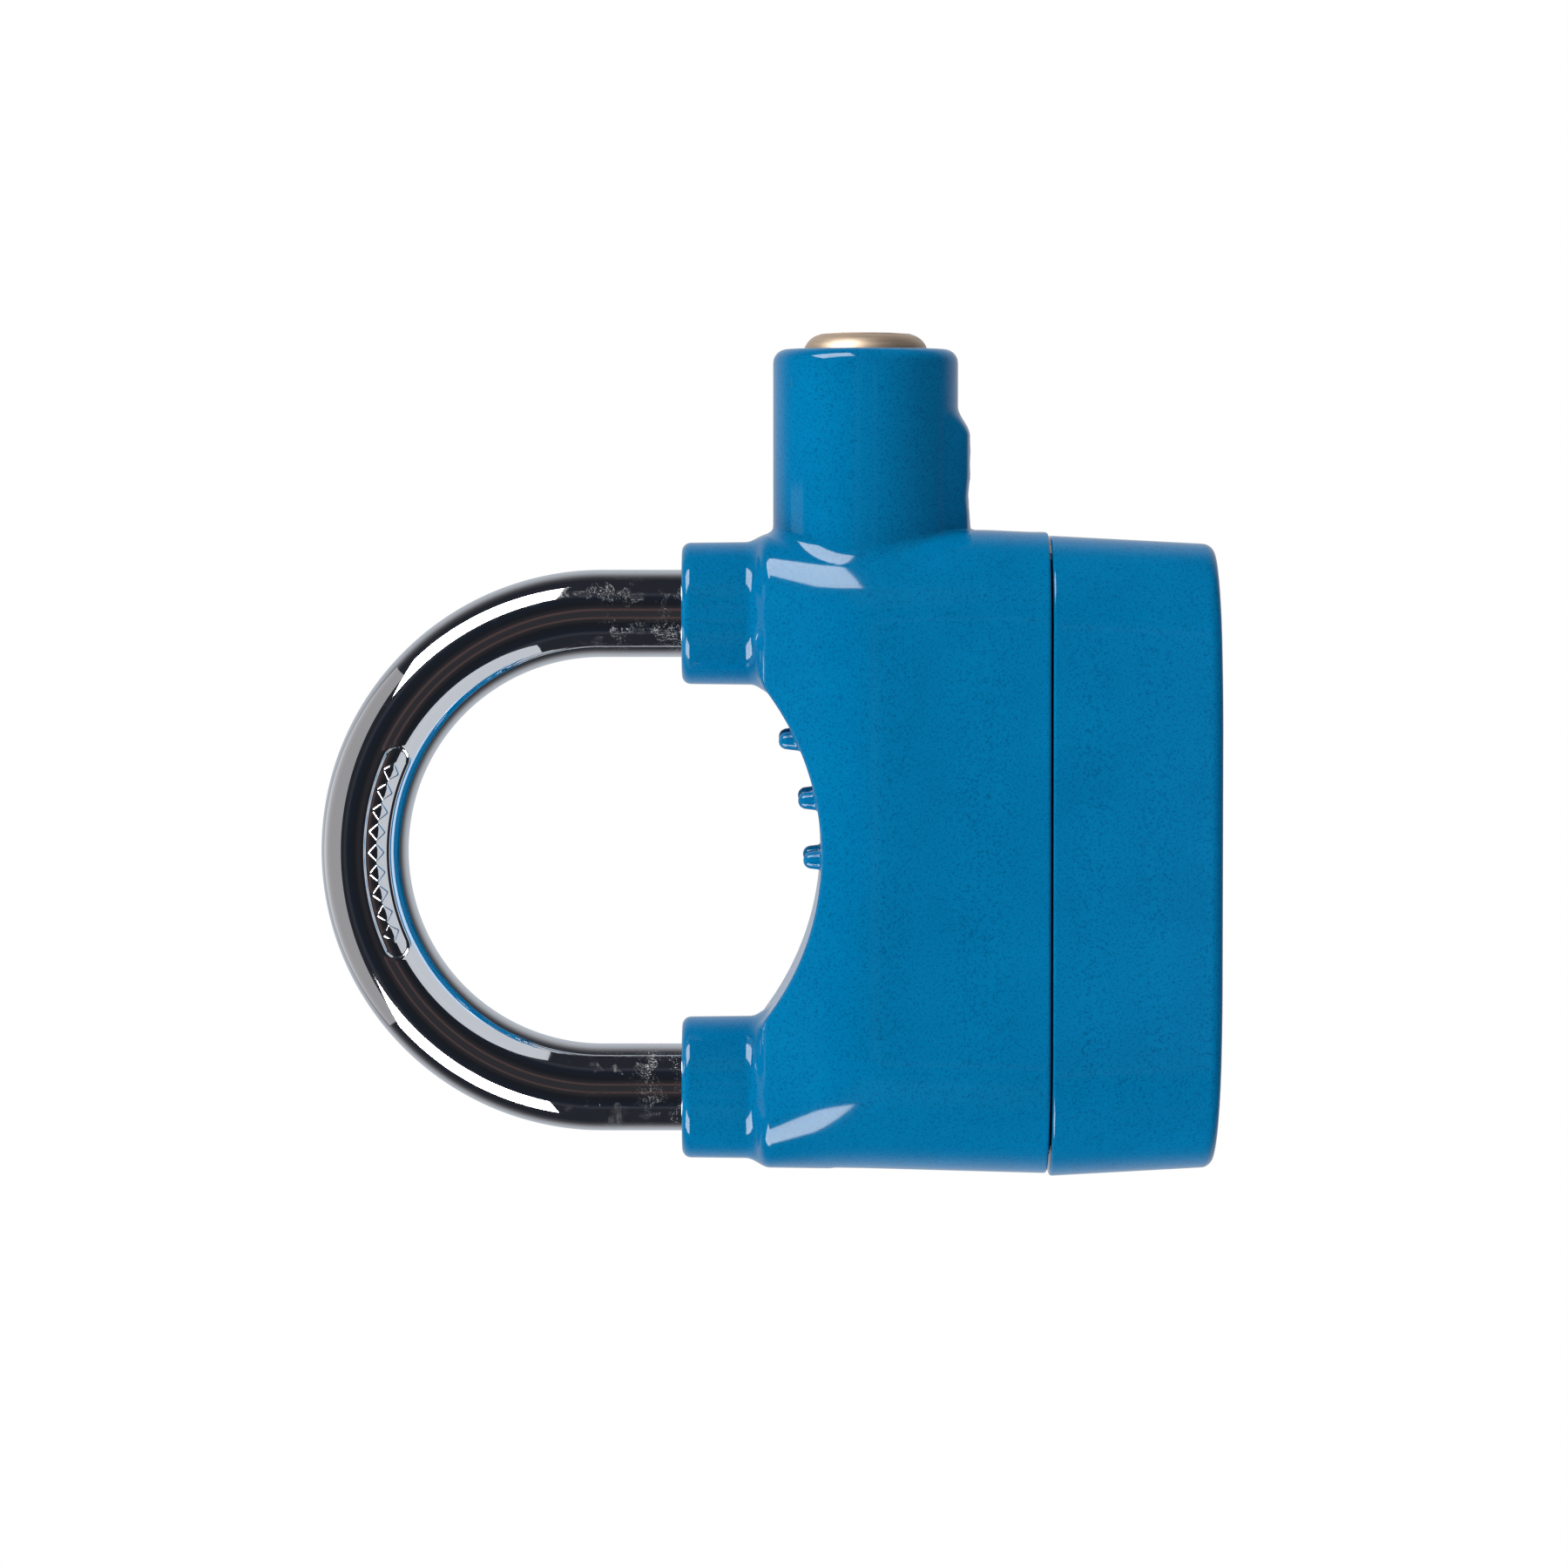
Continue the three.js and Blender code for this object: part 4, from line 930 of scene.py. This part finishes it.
def add_floor():
    low, high = (-FLOOR_REACH, -FLOOR_FRONT), (FLOOR_REACH, FLOOR_REACH)
    corners = [(low[0], low[1]), (high[0], low[1]), (high[0], high[1]), (low[0], high[1])]
    mesh = bpy.data.meshes.new("floor")
    mesh.from_pydata([(x, y, -0.0002) for x, y in corners], [], [(0, 1, 2, 3)])
    floor = bpy.data.objects.new("floor", mesh)
    bpy.context.scene.collection.objects.link(floor)
    look = Shading("pale_floor", (0.45, 0.45, 0.46), 0.9)
    white = look.add("ShaderNodeEmission")
    mix = look.add("ShaderNodeMixShader")
    path = look.add("ShaderNodeLightPath")
    look.feed(mix.inputs[0], path.outputs["Is Camera Ray"])
    look.feed(mix.inputs[1], look.shader.outputs[0])
    look.feed(mix.inputs[2], white.outputs[0])
    look.feed(look.tree.nodes["Material Output"].inputs["Surface"], mix.outputs[0])
    mesh.materials.append(look.material)
    floor.visible_glossy = False
    floor.visible_shadow = False


def add_softbox(name, azimuth, elevation, distance, size, power):
    light = bpy.data.lights.new(name, "AREA")
    light.shape = "RECTANGLE"
    light.size, light.size_y = size
    light.energy = power
    lamp = bpy.data.objects.new(name, light)
    bpy.context.scene.collection.objects.link(lamp)
    a, e = math.radians(azimuth), math.radians(elevation)
    away = Vector((math.sin(a) * math.cos(e), -math.cos(a) * math.cos(e), math.sin(e)))
    lamp.location = CENTRE + away * distance
    lamp.rotation_mode = "QUATERNION"
    lamp.rotation_quaternion = away.to_track_quat("Z", "Y")
    lamp.visible_camera = False


def add_fill(name, azimuth, power):
    """Soft light that doesn't show in the chrome."""
    add_softbox(name, azimuth, FILL_ELEVATION, FILL_DISTANCE, FILL_SIZE, power)
    bpy.data.objects[name].visible_glossy = False


def add_card(name, place, size, colour, faces_up):
    """A dim card that only its near neighbours reflect."""
    light = bpy.data.lights.new(name, "AREA")
    light.shape = "RECTANGLE"
    light.size, light.size_y = size
    light.color = colour
    light.energy = math.pi * size[0] * size[1]
    card = bpy.data.objects.new(name, light)
    bpy.context.scene.collection.objects.link(card)
    card.location = place
    card.rotation_euler = (math.pi if faces_up else 0, 0, 0)
    card.visible_camera = False
    card.visible_diffuse = False


# Colours of the room in reflections, by the angle from straight in front
ROOM_TONES = [
    (0, (0.03, 0.03, 0.035)),
    (9, (0.03, 0.029, 0.033)),
    (11, (0.13, 0.075, 0.07)),
    (13.5, (0.028, 0.026, 0.03)),
    (25, (0.012, 0.014, 0.018)),
    (45, (0.012, 0.016, 0.026)),
    (52, (0.036, 0.04, 0.05)),
    (58, (0.02, 0.022, 0.03)),
    (100, (0.02, 0.022, 0.03)),
    (112, (0.06, 0.062, 0.07)),
    (122, (0.19, 0.195, 0.21)),
    (132, (0.36, 0.375, 0.4)),
    (150, (0.48, 0.515, 0.57)),
    (180, (0.5, 0.53, 0.58)),
]


def add_world():
    """White to the camera. Reflections see a dim room: dark in front, light grey behind."""
    world = bpy.data.worlds.new("studio")
    bpy.context.scene.world = world
    world.use_nodes = True
    tree = world.node_tree
    tree.nodes.clear()
    link = tree.links.new

    def add(kind):
        return tree.nodes.new(kind)

    direction = add("ShaderNodeTexCoord").outputs["Generated"]
    split = add("ShaderNodeSeparateXYZ")
    link(direction, split.inputs[0])
    depth = add("ShaderNodeMapRange")
    depth.inputs["From Min"].default_value = -1
    link(split.outputs["Y"], depth.inputs["Value"])
    tones = add("ShaderNodeValToRGB")
    link(depth.outputs["Result"], tones.inputs["Fac"])
    elements = tones.color_ramp.elements
    while len(elements) < len(ROOM_TONES):
        elements.new(0.5)
    for element, (turn, colour) in zip(elements, ROOM_TONES):
        element.position = (1 - math.cos(math.radians(turn))) / 2
        element.color = (*colour, 1)
    studio = add("ShaderNodeBackground")
    link(tones.outputs["Color"], studio.inputs["Color"])
    white = add("ShaderNodeBackground")
    white.inputs["Color"].default_value = (1, 1, 1, 1)
    mix = add("ShaderNodeMixShader")
    link(add("ShaderNodeLightPath").outputs["Is Camera Ray"], mix.inputs[0])
    link(studio.outputs[0], mix.inputs[1])
    link(white.outputs[0], mix.inputs[2])
    link(mix.outputs[0], add("ShaderNodeOutputWorld").inputs["Surface"])


def add_camera():
    """In front, level with the middle, and rolled so that the shackle points to the left."""
    camera = bpy.data.cameras.new("camera")
    camera.lens = 150
    camera.sensor_width = 36
    camera.clip_start, camera.clip_end = 0.05, 20
    obj = bpy.data.objects.new("camera", camera)
    bpy.context.scene.collection.objects.link(obj)
    back = (CAMERA_PLACE - CAMERA_TARGET).normalized()
    right = Vector((0, 0, -1))
    up = back.cross(right).normalized()
    obj.matrix_world = Matrix.Translation(CAMERA_PLACE) @ Matrix((right, up, back)).transposed().to_4x4()
    bpy.context.scene.camera = obj


add_floor()
for side in (-1, 1):
    add_softbox(f"softbox_{side}", side * SOFTBOX_AZIMUTH, SOFTBOX_ELEVATION, SOFTBOX_DISTANCE,
                SOFTBOX_SIZE, SOFTBOX_POWER)
    add_fill(f"front_fill_{side}", side * FILL_AZIMUTH, FILL_POWER)
add_fill("back_fill", 180, BACK_FILL_POWER)
add_card("card_above_the_bow", colour=(0.33, 0.325, 0.33), **CARD_UPPER)
add_card("card_below_the_bow", colour=(0.575, 0.6, 0.64), **CARD_LOWER)
add_world()
add_camera()
bpy.context.scene.view_settings.view_transform = "Standard"
